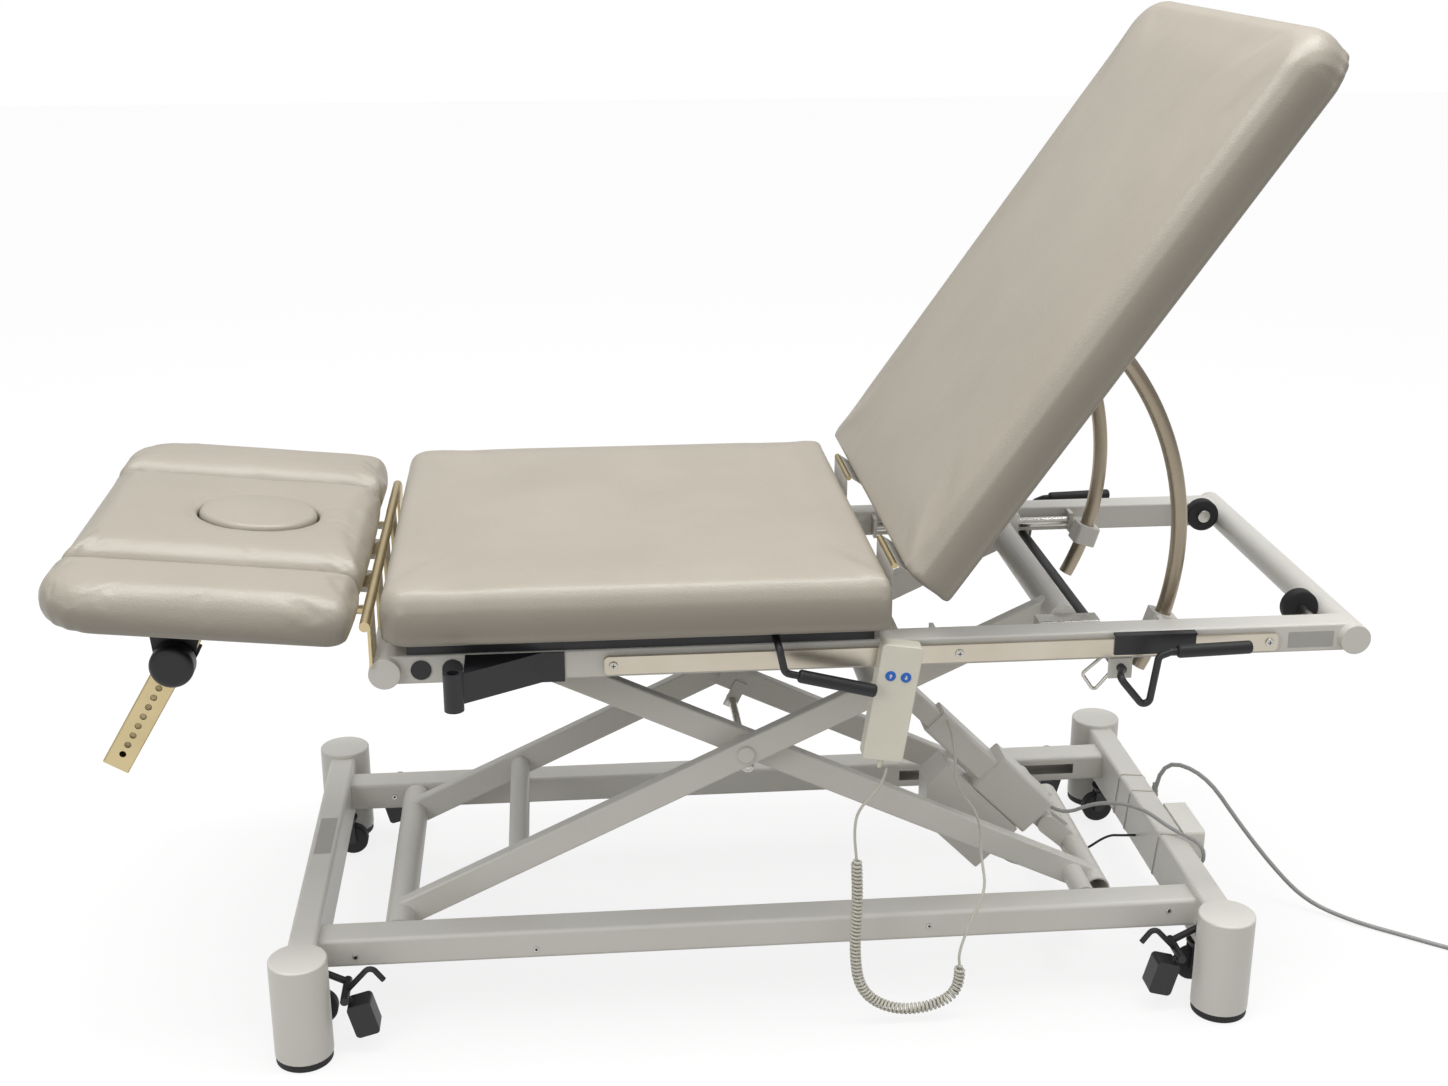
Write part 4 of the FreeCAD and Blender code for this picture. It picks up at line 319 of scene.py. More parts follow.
# %% [markdown]
# ## More than one finish on a piece
#
# Some CAD pieces carry parts of other materials, such as a rubber grip on a painted rod.
# The piece stays whole: the faces whose middle passes a test get a second material slot.

# %% Repaint part of a piece


def repaint(name, finish, belongs):
    """Gives the faces of a CAD piece a second finish where the test on their middle holds."""
    mesh = nodes[name].data
    mesh.materials.append(finish)
    index = len(mesh.materials) - 1
    painted = 0
    for face in mesh.polygons:
        x, y, z = face.center
        if belongs(x - base_x, y, z):
            face.material_index = index
            painted += 1
    print(name, "has", painted, "faces in", finish.name)


def off_line(x, z, line_x, line_z):
    """The distance from a line that runs across the table."""
    return math.hypot(x - line_x, z - line_z)


rail_face = 0.291
tie_rod = (-0.0124, 0.3130)
repaint("frame_end_tubes", black_plastic,
        lambda x, y, z: abs(y) > rail_face + 0.0005 and -0.48 < x < -0.40)
repaint("frame_fittings", bright_zinc,
        lambda x, y, z: math.hypot(abs(y) - 0.238, z - 0.552) < 0.0083 and 0.20 < x < 0.56)
repaint("frame_fittings", yellow_zinc,
        lambda x, y, z: off_line(x, z, *head_hinge) < 0.062 and x < -0.520)
repaint("frame_fittings", yellow_zinc, lambda x, y, z: off_line(x, z, *back_hinge) < 0.010)
repaint("frame_fittings", bright_zinc, lambda x, y, z: y < -0.27 and z < 0.5318 and x < 0.4635)
# Painted shade: the fittings above the rail top, under the seat and left of the handset, get black
# paint for the seat cushion's shadow on them
repaint("frame_fittings", black_paint, lambda x, y, z: z > 0.5722 and -0.49 < x < 0.145)
repaint("head_frame", yellow_zinc, lambda x, y, z: off_line(x, z, *head_hinge) < 0.030)
repaint("back_frame", yellow_zinc, lambda x, y, z: off_line(x, z, *back_hinge) < 0.010)
repaint("release_levers", black_paint, lambda x, y, z: x < 0.5395)
repaint("head_lever", black_paint, lambda x, y, z: x < 0.0185 or z > 0.557)
repaint("bumpers", bright_zinc, lambda x, y, z: not 0.1985 < abs(y) < 0.2175)
repaint("accessory_rail", bright_zinc, lambda x, y, z: y < -rail_face - 0.0101)
repaint("inner_lift_arms", bright_zinc, lambda x, y, z: off_line(x, z, *tie_rod) < 0.0100)

# %% [markdown]
# ## Making a piece
#
# Each new piece is built as a bmesh, which works on bare geometry with no scene around
# it. One function turns it into an object with a finish, on the body that carries it.

# %% From bmesh to piece


def piece(name, bm, finish, body, smooth=True):
    """Links the bmesh as an object that rides on a body."""
    mesh = bpy.data.meshes.new(name)
    bm.to_mesh(mesh)
    bm.free()
    mesh.materials.append(finish)
    mesh.shade_smooth() if smooth else mesh.shade_flat()
    obj = bpy.data.objects.new(name, mesh)
    scene.collection.objects.link(obj)
    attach(obj, body)
    return obj


def shown_mesh(obj):
    """A mesh of the object as its modifiers leave it."""
    graph = bpy.context.evaluated_depsgraph_get()
    return bpy.data.meshes.new_from_object(obj.evaluated_get(graph))


# %% [markdown]
# ## Cutting the foam
#
# Each cushion is a board and a block of foam under a tight cover. The block comes first: its
# outline is extruded upwards in steps, and at each step it is drawn in from the full size.
# The upper half follows a quarter of an ellipse, the lower half turns under towards the
# board, and the ends that meet another cushion are drawn in less, so that the joint is
# tight. A voxel remesh then gives it even quads, which a cloth solver needs.

# %% A foam block
swell = 0.005
roll_in = 0.034
turn_under = 0.011
widest_share = 0.46
levels = 14
corner_steps = 8
corner_follow = 0.6
least_radius = 0.004


def drawn_in(share):
    """How far the outline is drawn in at a share of the height."""
    if share < widest_share:
        return turn_under * (1 - share / widest_share) ** 2
    up = (share - widest_share) / (1 - widest_share)
    return roll_in * (1 - math.sqrt(max(0.0, 1 - up ** 2)))


def outline(low, high, corner_radii, inset, end_shares, z):
    """A rounded rectangle; end_shares tells how much of the inset each end gets."""
    points = []
    for start, (side_x, side_y) in enumerate(((1, 1), (-1, 1), (-1, -1), (1, -1))):
        radius = max(corner_radii[side_x, side_y] - corner_follow * inset, least_radius)
        inset_x = inset * end_shares.get(side_x, 1.0)
        x = (high.x - inset_x if side_x > 0 else low.x + inset_x) - side_x * radius
        y = (high.y - inset if side_y > 0 else low.y + inset) - side_y * radius
        for i in range(corner_steps + 1):
            angle = math.pi / 2 * (start + i / corner_steps)
            points.append((x + radius * math.cos(angle), y + radius * math.sin(angle), z))
    return points


def foam_block(name, x_range, y_range, z_range, corner_radii, voxel, end_shares, holes):
    """A cushion's foam; corner_radii is keyed by the signs of X and Y."""
    low = placed(x_range[0] + swell, y_range[0] + swell, z_range[0])
    high = placed(x_range[1] - swell, y_range[1] - swell, z_range[1] - swell)

    def outline_at(share):
        return outline(low, high, corner_radii, drawn_in(share), end_shares,
                       low.z + share * (high.z - low.z))

    bm = bmesh.new()
    top = bm.faces.new([bm.verts.new(point) for point in outline_at(0.0)])
    for i in range(1, levels + 1):
        grown = bmesh.ops.extrude_face_region(bm, geom=[top], use_keep_orig=i == 1)["geom"]
        top = next(part for part in grown if isinstance(part, bmesh.types.BMFace))
        for vertex, point in zip(top.verts, outline_at(1 - (1 - i / levels) ** 2)):
            vertex.co = point
    bmesh.ops.recalc_face_normals(bm, faces=bm.faces)
    block = mesh_object(name, bm)
    for cutter in holes:
        cut = block.modifiers.new("hole", "BOOLEAN")
        cut.operation = "DIFFERENCE"
        cut.solver = "EXACT"
        cut.object = cutter
    even = block.modifiers.new("even", "REMESH")
    even.mode = "VOXEL"
    even.voxel_size = voxel
    apply_modifiers(block)
    return block


def mesh_object(name, bm):
    """An object for work in progress."""
    mesh = bpy.data.meshes.new(name)
    bm.to_mesh(mesh)
    bm.free()
    obj = bpy.data.objects.new(name, mesh)
    scene.collection.objects.link(obj)
    return obj


def apply_modifiers(obj):
    """Makes what the modifiers show the object's own mesh."""
    mesh = shown_mesh(obj)
    obj.modifiers.clear()
    obj.data = mesh


def oval_cutter(name, x, length, width, bottom, top):
    """An upright oval to cut with."""
    bm = bmesh.new()
    bmesh.ops.create_cone(bm, cap_ends=True, segments=64, radius1=0.5, radius2=0.5, depth=1.0)
    bmesh.ops.scale(bm, vec=(length, width, top - bottom), verts=bm.verts)
    bmesh.ops.translate(bm, vec=placed(x, 0, (top + bottom) / 2), verts=bm.verts)
    return mesh_object(name, bm)


# %% [markdown]
# The three big cushions are the seat, the back and the head. Beside the head lie two arm
# rests, and an oval plug fills its breathing hole. All six are drawn flat here, as the
# upholsterer makes them, and turned to their place when they are full.

# %% The six blocks
seat_z = (0.6003, 0.682)
head_z = (0.6003, 0.669)
head_x = (-0.949, -0.541)
full_y = (-0.352, 0.352)
plug_x, plug_l, plug_w = -0.706, 0.165, 0.145
ledge_gap, ledge_width = 0.004, 0.020
above_ledge, through_board = (0.606, 0.75), (0.55, 0.61)
seat_corner, top_corner, joint_corner = 0.042, 0.066, 0.015
side_corner, inner_corner, arm_corner = 0.030, 0.015, 0.074
joint_share, hinge_share = 0.22, 0.6

ledge = oval_cutter("hole_above_ledge", plug_x, plug_l + ledge_gap, plug_w + ledge_gap,
                    *above_ledge)
breathing = oval_cutter("breathing_hole", plug_x, plug_l - ledge_width, plug_w - ledge_width,
                        *through_board)


def rounded(low_end, high_end):
    """Corner radii by the signs of X and Y, from those of the ends at -X and at +X."""
    return {(sx, sy): high_end if sx > 0 else low_end for sx in (-1, 1) for sy in (-1, 1)}


far_round = {(-1, 1): arm_corner, (-1, -1): inner_corner, (1, 1): side_corner,
             (1, -1): inner_corner}
near_round = {(sx, -sy): radius for (sx, sy), radius in far_round.items()}
level = Matrix.Identity(4)

# Each cushion has its body, its ranges along X, Y and Z, its corners and its turn
cushions = {
    "seat_cushion": ("top_frame", ((-0.521, 0.164), full_y, seat_z),
                     rounded(seat_corner, joint_corner), level),
    "back_cushion": ("back", ((0.1705, 1.0405), full_y, seat_z),
                     rounded(joint_corner, top_corner), back_raised),
    "head_cushion": ("head", (head_x, (-0.191, 0.191), head_z),
                     rounded(inner_corner, inner_corner), head_raised),
    "armrest_pad_far": ("armrest_far", (head_x, (0.194, 0.352), head_z),
                        far_round, head_raised),
    "armrest_pad_near": ("armrest_near", (head_x, (-0.352, -0.194), head_z),
                         near_round, head_raised),
}

# The edge of the voxels, and how much of the roll each end at a joint keeps
voxels = {"seat_cushion": 0.008, "back_cushion": 0.009, "head_cushion": 0.005,
          "armrest_pad_far": 0.006, "armrest_pad_near": 0.006}
joints_at = {"seat_cushion": {1: joint_share, -1: hinge_share},
             "back_cushion": {-1: joint_share}, "head_cushion": {1: hinge_share},
             "armrest_pad_far": {1: hinge_share}, "armrest_pad_near": {1: hinge_share}}
blocks = {}
for name, (_, ranges, radii, _) in cushions.items():
    holes = (ledge, breathing) if name == "head_cushion" else ()
    blocks[name] = foam_block("foam_" + name, *ranges, radii, voxels[name], joints_at[name], holes)
for cutter in (ledge, breathing):
    bpy.data.objects.remove(cutter)
print({name: len(block.data.polygons) for name, block in blocks.items()})

# %% [markdown]
# ## Filling the cushions
#
# The cover is stapled under the board, so the lowest centimetre is pinned, and so is the
# wall of the breathing hole, which is glued. The rest is cloth with air pressure inside
# and no gravity. Twenty frames are enough for the faces to belly out and the edges to
# round. How far a point may go is then eased off near a limit, as dense foam holds the
# cover back, and one subdivision smooths the quads.

# %% Pin, inflate and ease
pressure = 4.0
last_frame = 20
stapled_height = 0.010
glued_share = 1.12


def pin_cover(block, bottom, with_hole):
    """A vertex group for the stapled edge and for the wall of the breathing hole."""
    group = block.vertex_groups.new(name="stapled")
    for vertex in block.data.vertices:
        x, y = vertex.co.x - base_x - plug_x, vertex.co.y
        near_hole = math.hypot(x / (plug_l / 2), y / (plug_w / 2)) < glued_share
        if vertex.co.z < bottom + stapled_height or with_hole and near_hole:
            group.add([vertex.index], 1.0, "REPLACE")


def make_cloth(block):
    """Gives the block its cover: cloth with air pressure inside."""
    cover = block.modifiers.new("cover", "CLOTH")
    cover.settings.vertex_group_mass = "stapled"
    cover.settings.use_pressure = True
    cover.settings.uniform_pressure_force = pressure
    cover.settings.effector_weights.gravity = 0.0
    cover.point_cache.frame_start = 1
    cover.point_cache.frame_end = last_frame


def eased(start, end, limit):
    """A point between the two that is never further from the start than the limit."""
    move = end - start
    far = move.length
    return start + move * (limit * math.tanh(far / limit) / far) if far > 1e-7 else start


for name, block in blocks.items():
    pin_cover(block, seat_z[0], with_hole=name == "head_cushion")
for block in blocks.values():
    make_cloth(block)
for frame_no in range(1, last_frame + 1):
    scene.frame_set(frame_no)
for block in blocks.values():
    full = shown_mesh(block)
    block.modifiers.clear()
    for vertex, swollen in zip(block.data.vertices, full.vertices):
        vertex.co = eased(vertex.co, swollen.co, swell)
    bpy.data.meshes.remove(full)
scene.frame_set(1)
print("filled", len(blocks), "cushions")

# %% [markdown]
# ## Corner pleats
#
# Where the cover turns a corner it has cloth to spare, and the upholsterer folds that
# under in three or four small pleats. They are deepest at the board and run out half way
# up. A wave round the corner, pressed in below and fading upwards, gives them. A black
# dust cloth, stapled a thumb's width inside the cover's edge, closes the underside.

# %% Pleat, turn and place
pleat_depth = 0.0016
pleats_at_corner = 4
pleat_top = 0.55
pleat_start = 0.6
cloth_inset = 0.032
underside = 0.001


def pleat_corners(mesh, x_range, y_range, z_range, corner_radii):
    """Presses pleats into the lower half of each rounded corner."""
    tall = z_range[1] - z_range[0]
    for (side_x, side_y), radius in corner_radii.items():
        centre_x = (x_range[1] - radius if side_x > 0 else x_range[0] + radius) + base_x
        centre_y = y_range[1] - radius if side_y > 0 else y_range[0] + radius
        for vertex in mesh.vertices:
            across = (vertex.co.x - centre_x) * side_x
            aside = (vertex.co.y - centre_y) * side_y
            if across <= 0 or aside <= 0:
                continue
            out = math.hypot(across, aside)
            height = (vertex.co.z - z_range[0]) / tall
            if out < pleat_start * radius or height > pleat_top:
                continue
            wave = math.sin(2 * pleats_at_corner * math.atan2(aside, across)) ** 2
            depth = pleat_depth * wave * (1 - height / pleat_top)
            vertex.co.x -= side_x * across / out * depth
            vertex.co.y -= side_y * aside / out * depth


for name, (body, ranges, radii, turn) in cushions.items():
    block = blocks[name]
    block.vertex_groups.clear()
    smooth = block.modifiers.new("smooth", "SUBSURF")
    smooth.levels = smooth.render_levels = 1
    apply_modifiers(block)
    pleat_corners(block.data, *ranges, radii)
    block.data.materials.clear()
    block.data.materials.append(vinyl)
    block.data.materials.append(dust_cloth)
    (x0, x1), (y0, y1), (z0, _) = ranges
    for face in block.data.polygons:
        x, y, z = face.center
        border = min(x - base_x - x0, x1 - x + base_x, y - y0, y1 - y)
        face.material_index = int(z < z0 + underside and border > cloth_inset)
    block.data.transform(turn)
    block.data.shade_smooth()
    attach(block, body)
    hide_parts(name)

# %% [markdown]
# ## The face plug
#
# The plug is a stiff oval block with a tight cover, and its top edge is rounded by hand,
# so a bevelled oval with a slightly raised middle is enough.

# %% The plug
plug_bottom, plug_top = 0.6063, 0.669
plug_gap, plug_rim, crown_step = 0.001, 0.009, 0.0006
bm = bmesh.new()
bmesh.ops.create_cone(bm, cap_ends=True, segments=72, radius1=0.5, radius2=0.5, depth=1.0)
bmesh.ops.scale(bm, vec=(plug_l - plug_gap, plug_w - plug_gap, plug_top - plug_bottom),
                verts=bm.verts)
bmesh.ops.translate(bm, vec=placed(plug_x, 0, (plug_top + plug_bottom) / 2), verts=bm.verts)
rim = [edge for edge in bm.edges if all(v.co.z > plug_top - 1e-4 for v in edge.verts)]
bmesh.ops.bevel(bm, geom=rim, offset=plug_rim, segments=5, profile=0.5, affect="EDGES",
                material=-1)
top_face = max(bm.faces, key=lambda face: face.calc_center_median().z)
for inset in (0.012, 0.018, 0.020):
    bmesh.ops.inset_region(bm, faces=[top_face], thickness=inset, use_even_offset=True)
    bmesh.ops.translate(bm, vec=(0, 0, crown_step), verts=top_face.verts)
bmesh.ops.transform(bm, matrix=head_raised, verts=bm.verts)
face_plug = piece("oval_plug", bm, vinyl, "plug")
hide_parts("face_plug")

# %% [markdown]
# ## Cords
#
# A cord keeps its length and lies where its weight takes it. The routes are the same as
# in the CAD model. A NURBS spline of order three passes smoothly inside their corners,
# as a bent cable does.

# %% Routes and the spline
drop_route = ((0.1573, -0.3145, 0.3939), (0.153, -0.315, 0.369), (0.118, -0.320, 0.336),
              (0.113, -0.322, 0.304), (0.117, -0.324, 0.262))
curl_route = ((0.117, -0.324, 0.262), (0.121, -0.324, 0.200), (0.117, -0.324, 0.122),
              (0.126, -0.324, 0.052), (0.172, -0.324, 0.019), (0.230, -0.324, 0.020),
              (0.272, -0.324, 0.046), (0.268, -0.324, 0.086))
return_route = ((0.268, -0.324, 0.086), (0.266, -0.324, 0.106), (0.281, -0.317, 0.148),
                (0.306, -0.304, 0.192), (0.303, -0.284, 0.227), (0.309, -0.242, 0.231),
                (0.321, -0.202, 0.229), (0.318, -0.160, 0.248), (0.298, -0.120, 0.262),
                (0.306, -0.082, 0.284), (0.3036, -0.046, 0.325), (0.3036, -0.023, 0.325))


def route_spline(name, points, diameter):
    """A curve object that runs along the route, as thick as the cord."""
    curve = bpy.data.curves.new(name, "CURVE")
    curve.dimensions = "3D"
    curve.bevel_depth = diameter / 2
    curve.bevel_resolution = 4
    curve.resolution_u = 5
    curve.use_fill_caps = True
    spline = curve.splines.new("NURBS")
    spline.points.add(len(points) - 1)
    for knot, point in zip(spline.points, points):
        knot.co = (*point, 1.0)
    spline.order_u = 3
    spline.use_endpoint_u = True
    obj = bpy.data.objects.new(name, curve)
    scene.collection.objects.link(obj)
    return obj


def points_along(points):
    """The line that a route's spline draws, as a list of points."""
    guide = route_spline("guide", points, 0.0)
    line = [Vector(v.co) for v in shown_mesh(guide).vertices]
    bpy.data.objects.remove(guide)
    return line


def line_length(line):
    return sum((b - a).length for a, b in zip(line, line[1:]))


def lay_cord(name, points, diameter, finish, body, slot, **facts):
    """Lays a cord along its points and prints its length; slot and facts are not used."""
    cord = route_spline(name, points, diameter)
    cord.data.materials.append(finish)
    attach(cord, body)
    length = line_length(points_along(points))
    print(name, "is", round(length, 3), "m long")
    return cord


# %% [markdown]
# ## The curly cord
#
# The hand control hangs on a spiral cord: a thin sheathed wire wound on a rod and baked,
# so that it stretches and springs back. Its curls lie in one upright plane, so a turn
# about that plane's line needs only two directions: the sideways one, and the one square
# to the line within the plane.

# %% The hand control's cord
wire_d = 0.004
curl_d = 0.0165
curl_pitch = 0.00585
steps_per_curl = 12

curl_line = points_along([placed(*p) for p in curl_route])
curl_length = line_length(curl_line)
curls = round(curl_length / curl_pitch)
sideways = Vector((0, 1, 0))


def curl_points(line, turns, radius):
    """Points of a helix round a line that stays in an upright plane."""
    total = line_length(line)
    count = turns * steps_per_curl
    points = []
    walked = 0.0
    index = 0
    for i in range(1, count):
        target = total * i / count
        while walked + (line[index + 1] - line[index]).length < target:
            walked += (line[index + 1] - line[index]).length
            index += 1
        step = line[index + 1] - line[index]
        centre = line[index] + step * ((target - walked) / step.length)
        outward = step.normalized().cross(sideways)
        angle = 2 * math.pi * i / steps_per_curl
        grown = min(1.0, i / steps_per_curl, (count - i) / steps_per_curl)
        around = outward * math.cos(angle) + sideways * math.sin(angle)
        points.append(centre + around * radius * grown)
    return points


helix = curl_points(curl_line, curls, (curl_d - wire_d) / 2)
handset_points = ([placed(*p) for p in drop_route] + helix + [placed(*p) for p in return_route])
handset_lead = lay_cord("handset_lead", handset_points, wire_d, pale_sheath, "top_frame",
                        "pale_cord", far_end="object", stiffness="limp", lay="hanging")
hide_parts("handset_cord", "handset_curl")
print(curls, "curls")

# %% [markdown]
# ## The cables of the lift
#
# A grey cable runs from the lift's motor over the right beam to the junction box, and a
# black lead drops from the motor to a grommet in the beam. Both are held at their ends
# and hang between.

# %% Motor cables
push_angle = math.radians(135.05367)
clevis_pin = (0.470, 0.138)


def on_actuator(along, above, y):
    """A point given along the actuator from its clevis pin, and towards the motor's side."""
    x = clevis_pin[0] + along * math.cos(push_angle) - above * math.sin(push_angle)
    z = clevis_pin[1] + along * math.sin(push_angle) + above * math.cos(push_angle)
    return (x, y, z)


grey_route = (on_actuator(0.026, -0.022, -0.005), on_actuator(-0.012, -0.022, -0.005),
              (0.543, -0.034, 0.184), (0.602, -0.062, 0.187), (0.645, -0.088, 0.158),
              (0.684, -0.129, 0.152), (0.684, -0.130, 0.112), (0.684, -0.085, 0.112))
black_route = (on_actuator(0.037, 0.096, 0.012), on_actuator(0.007, 0.096, 0.014),
               (0.440, 0.026, 0.044), (0.497, 0.042, 0.036), (0.552, 0.052, 0.050),
               (0.588, 0.044, 0.082), (0.604, 0.020, 0.093), (0.626, 0.019, 0.093))
motor_cable_d, switch_lead_d = 0.006, 0.004
motor_cable = lay_cord("motor_cable", [placed(*p) for p in grey_route], motor_cable_d,
                       grey_sheath, "base", "grey_cord", far_end="object",
                       stiffness="medium", lay="loose")
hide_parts("inner_cables")
switch_lead = lay_cord("switch_lead", [placed(*p) for p in black_route], switch_lead_d,
                       black_sheath, "base", "black_plastic", far_end="object",
                       stiffness="limp", lay="loose")
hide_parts("inner_cables")

# %% [markdown]
# ## The mains lead
#
# The lead leaves a gland on the right beam, rises over, falls to the floor and runs out
# of the picture. The rest of its three metres is wound into a small round coil just past
# the edge of the picture, four layers of turns on top of each other, with its plug beside
# it.

# %% The mains lead and its coil
mains_d = 0.007
mains_route = ((0.680, 0.100, 0.108), (0.680, 0.100, 0.186), (0.738, 0.044, 0.188),
               (0.790, 0.002, 0.112), (0.838, -0.042, 0.052), (0.880, -0.075, 0.013),
               (0.935, -0.125, 0.0036), (1.000, -0.176, 0.0036), (1.046, -0.213, 0.0036),
               (1.112, -0.258, 0.0036))
coil_r = 0.050
coil_pitch = 0.0078
coil_layers = 4
turns_per_layer = 2
climb_share = 0.25
steps_per_turn = 16

lead_in = Vector(mains_route[-1]) - Vector(mains_route[-2])
lead_in.normalize()
coil_middle = Vector(mains_route[-1]) + Vector((lead_in.y, -lead_in.x, 0)) * coil_r
first_angle = math.atan2(mains_route[-1][1] - coil_middle.y, mains_route[-1][0] - coil_middle.x)


def coil_point(turn_no):
    """A point of the coil after so many turns: in and out by turns, one layer on another."""
    per_layer = turns_per_layer + climb_share
    layer = min(coil_layers - 1, int(turn_no / per_layer))
    done = turn_no - layer * per_layer
    last = layer == coil_layers - 1
    wound = done if last else min(done, turns_per_layer)
    shrink = wound if layer % 2 == 0 else turns_per_layer - wound
    r = coil_r - coil_pitch * shrink
    climb = 0.0 if last else max(0.0, done - turns_per_layer) / climb_share
    z = mains_route[-1][2] + coil_pitch * (layer + (1 - math.cos(math.pi * climb)) / 2)
    angle = first_angle - 2 * math.pi * turn_no
    return (coil_middle.x + r * math.cos(angle), coil_middle.y + r * math.sin(angle), z)


turns = coil_layers * (turns_per_layer + climb_share)
coil_points = [coil_point(i / steps_per_turn) for i in range(1, int(turns * steps_per_turn))]
lift_off = Vector(coil_point(turns - 1e-6))
tail = [lift_off + lead_in * along + Vector((0, 0, up))
        for along, up in ((0.0, 0.0), (0.022, 0.0), (0.046, -0.014), (0.068, -0.014))]
mains_points = [placed(*p) for p in list(mains_route) + coil_points + [tuple(p) for p in tail]]
mains_lead = lay_cord("mains_lead", mains_points, mains_d, grey_sheath, "base", "grey_cord",
                      far_end="plug", stiffness="medium", lay="coiled",
                      with_pieces=nodes["mains_plug"])
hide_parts("mains_cord", "mains_coil")
plug_body_l = 0.048
repaint("mains_plug", bright_zinc,
        lambda x, y, z: (Vector((x, y, z)) - tail[-1]).dot(lead_in) > plug_body_l + 0.0002)

# %% [markdown]
# A tapered sleeve of soft plastic keeps the lead from kinking where it leaves the gland.
# A profile with five grooves is spun about the lead.

# %% The strain relief
sleeve_r, sleeve_end_r, sleeve_l = 0.0072, 0.0045, 0.034
gland_x, gland_y, gland_z = 0.680, 0.100, 0.1082
groove_depth = 0.0009
bm = bmesh.new()
rings = 11
profile = []
for i in range(rings):
    share = i / (rings - 1)
    groove = groove_depth if i % 2 else 0.0
    radius = sleeve_r + (sleeve_end_r - sleeve_r) * share - groove
    profile.append(bm.verts.new(placed(gland_x + radius, gland_y, gland_z + sleeve_l * share)))
profile_edges = [bm.edges.new(pair) for pair in zip(profile, profile[1:])]
bmesh.ops.spin(bm, geom=profile + profile_edges, cent=placed(gland_x, gland_y, 0), axis=(0, 0, 1),
               angle=2 * math.pi, steps=24, use_merge=True)
bmesh.ops.holes_fill(bm, edges=bm.edges)
bmesh.ops.recalc_face_normals(bm, faces=bm.faces)
piece("strain_relief", bm, grey_sheath, "base")

# %% [markdown]
# ## Small things
#
# Rating plates, bolts, cable ties and a thumb screw are what make a machine look used and
# real. They are thin or small, so a box or a short cylinder with softened edges will do.

# %% Two shapes for small things
rim_share = 0.45


def small_box(name, low, high, finish, body, soft=0.0, turn=None):
    """A box between two corners, with its edges softened when soft is given."""
    bm = bmesh.new()
    bmesh.ops.create_cube(bm, size=1.0)
    bmesh.ops.scale(bm, vec=high - low, verts=bm.verts)
    bmesh.ops.translate(bm, vec=(high + low) / 2, verts=bm.verts)
    if soft:
        bmesh.ops.bevel(bm, geom=bm.edges, offset=soft, segments=3, profile=0.5, affect="EDGES",
                        material=-1)
    if turn:
        bmesh.ops.transform(bm, matrix=turn, verts=bm.verts)
    return piece(name, bm, finish, body, smooth=False)


def button_head(name, foot, way, diameter, height, finish, body):
    """A round head with a rounded rim, which stands on foot and points along way."""
    bm = bmesh.new()
    bmesh.ops.create_cone(bm, cap_ends=True, segments=32, radius1=diameter / 2,
                          radius2=diameter / 2, depth=height)
    rim = [edge for edge in bm.edges if all(v.co.z > 0 for v in edge.verts)]
    bmesh.ops.bevel(bm, geom=rim, offset=height * rim_share, segments=4, profile=0.5,
                    affect="EDGES", material=-1)
    bmesh.ops.translate(bm, vec=(0, 0, height / 2), verts=bm.verts)
    lay = Matrix.Translation(foot) @ way.to_track_quat("Z", "Y").to_matrix().to_4x4()
    bmesh.ops.transform(bm, matrix=lay, verts=bm.verts)
    return piece(name, bm, finish, body)


# %% [markdown]
# The socket screws in the base rails hold the castor carriages, and a flat black disc on
# each head is painted shade for its hollow hex socket. The three screws of the accessory
# rail have cross recesses, and each cross is painted shade: two crossed bars of black.

# %% Plates, screws and the box's thumb screw
to_viewer = Vector((0, -1, 0))
small_box("frame_plate", placed(0.712, -0.2915, 0.539), placed(0.776, -0.2908, 0.562),
          bare_plate, "top_frame")
small_box("rating_plate", placed(-0.658, -0.030, 0.1498), placed(-0.633, 0.084, 0.1505),
          bare_plate, "base")

socket_screws = [(-0.577, -0.266, 0.112), (-0.3255, -0.266, 0.110), (0.235, -0.266, 0.117),
                 (0.586, -0.266, 0.123), (-0.5565, 0.216, 0.117)]
screw_d, screw_h = 0.0085, 0.0016
socket_d, socket_h, socket_foot = 0.004, 0.0002, 0.0015
for i, place in enumerate(socket_screws):
    foot = placed(*place)
    button_head(f"socket_screw_{i}", foot, to_viewer, screw_d, screw_h, bright_zinc,
                "base")
    # A flat black disc on each head: painted shade for the hollow hex socket
    button_head(f"painted_socket_shade_{i}", foot + to_viewer * socket_foot, to_viewer, socket_d, socket_h,
                black_plastic, "base")

recess_l, recess_w, recess_thick = 0.0064, 0.0011, 0.0003
for i, x in enumerate((-0.210, 0.254, 0.682)):
    middle = placed(x, -0.3035, 0.552)
    for j, (wide, tall) in enumerate(((recess_l, recess_w), (recess_w, recess_l))):
        half = Vector((wide, recess_thick, tall)) / 2
        # Each black bar is painted shade for the hollow of the cross recess
        small_box(f"painted_recess_shade_{i}_{j}", middle - half, middle + half, black_plastic,
                  "top_frame")

thumb_screw_d, thumb_screw_h = 0.011, 0.007
button_head("box_thumb_screw", placed(0.700, -0.050, 0.124), Vector((1, 0, 0)),
            thumb_screw_d, thumb_screw_h, white_plastic, "base")

# %% [markdown]
# Three pale ties hold the cables to the right beam. Each is one flat band round the beam's
# four sides, a little askew, as ties pulled tight by hand are.

# %% Cable ties
tie_width, tie_thick = 0.0026, 0.0011
beam_x, beam_z = (0.626, 0.666), (0.070, 0.150)
tie_gap, tie_round = 0.0003, 0.005
askew = ((1, 1, 0.0), (-1, 1, 0.006), (-1, -1, 0.022), (1, -1, 0.012))

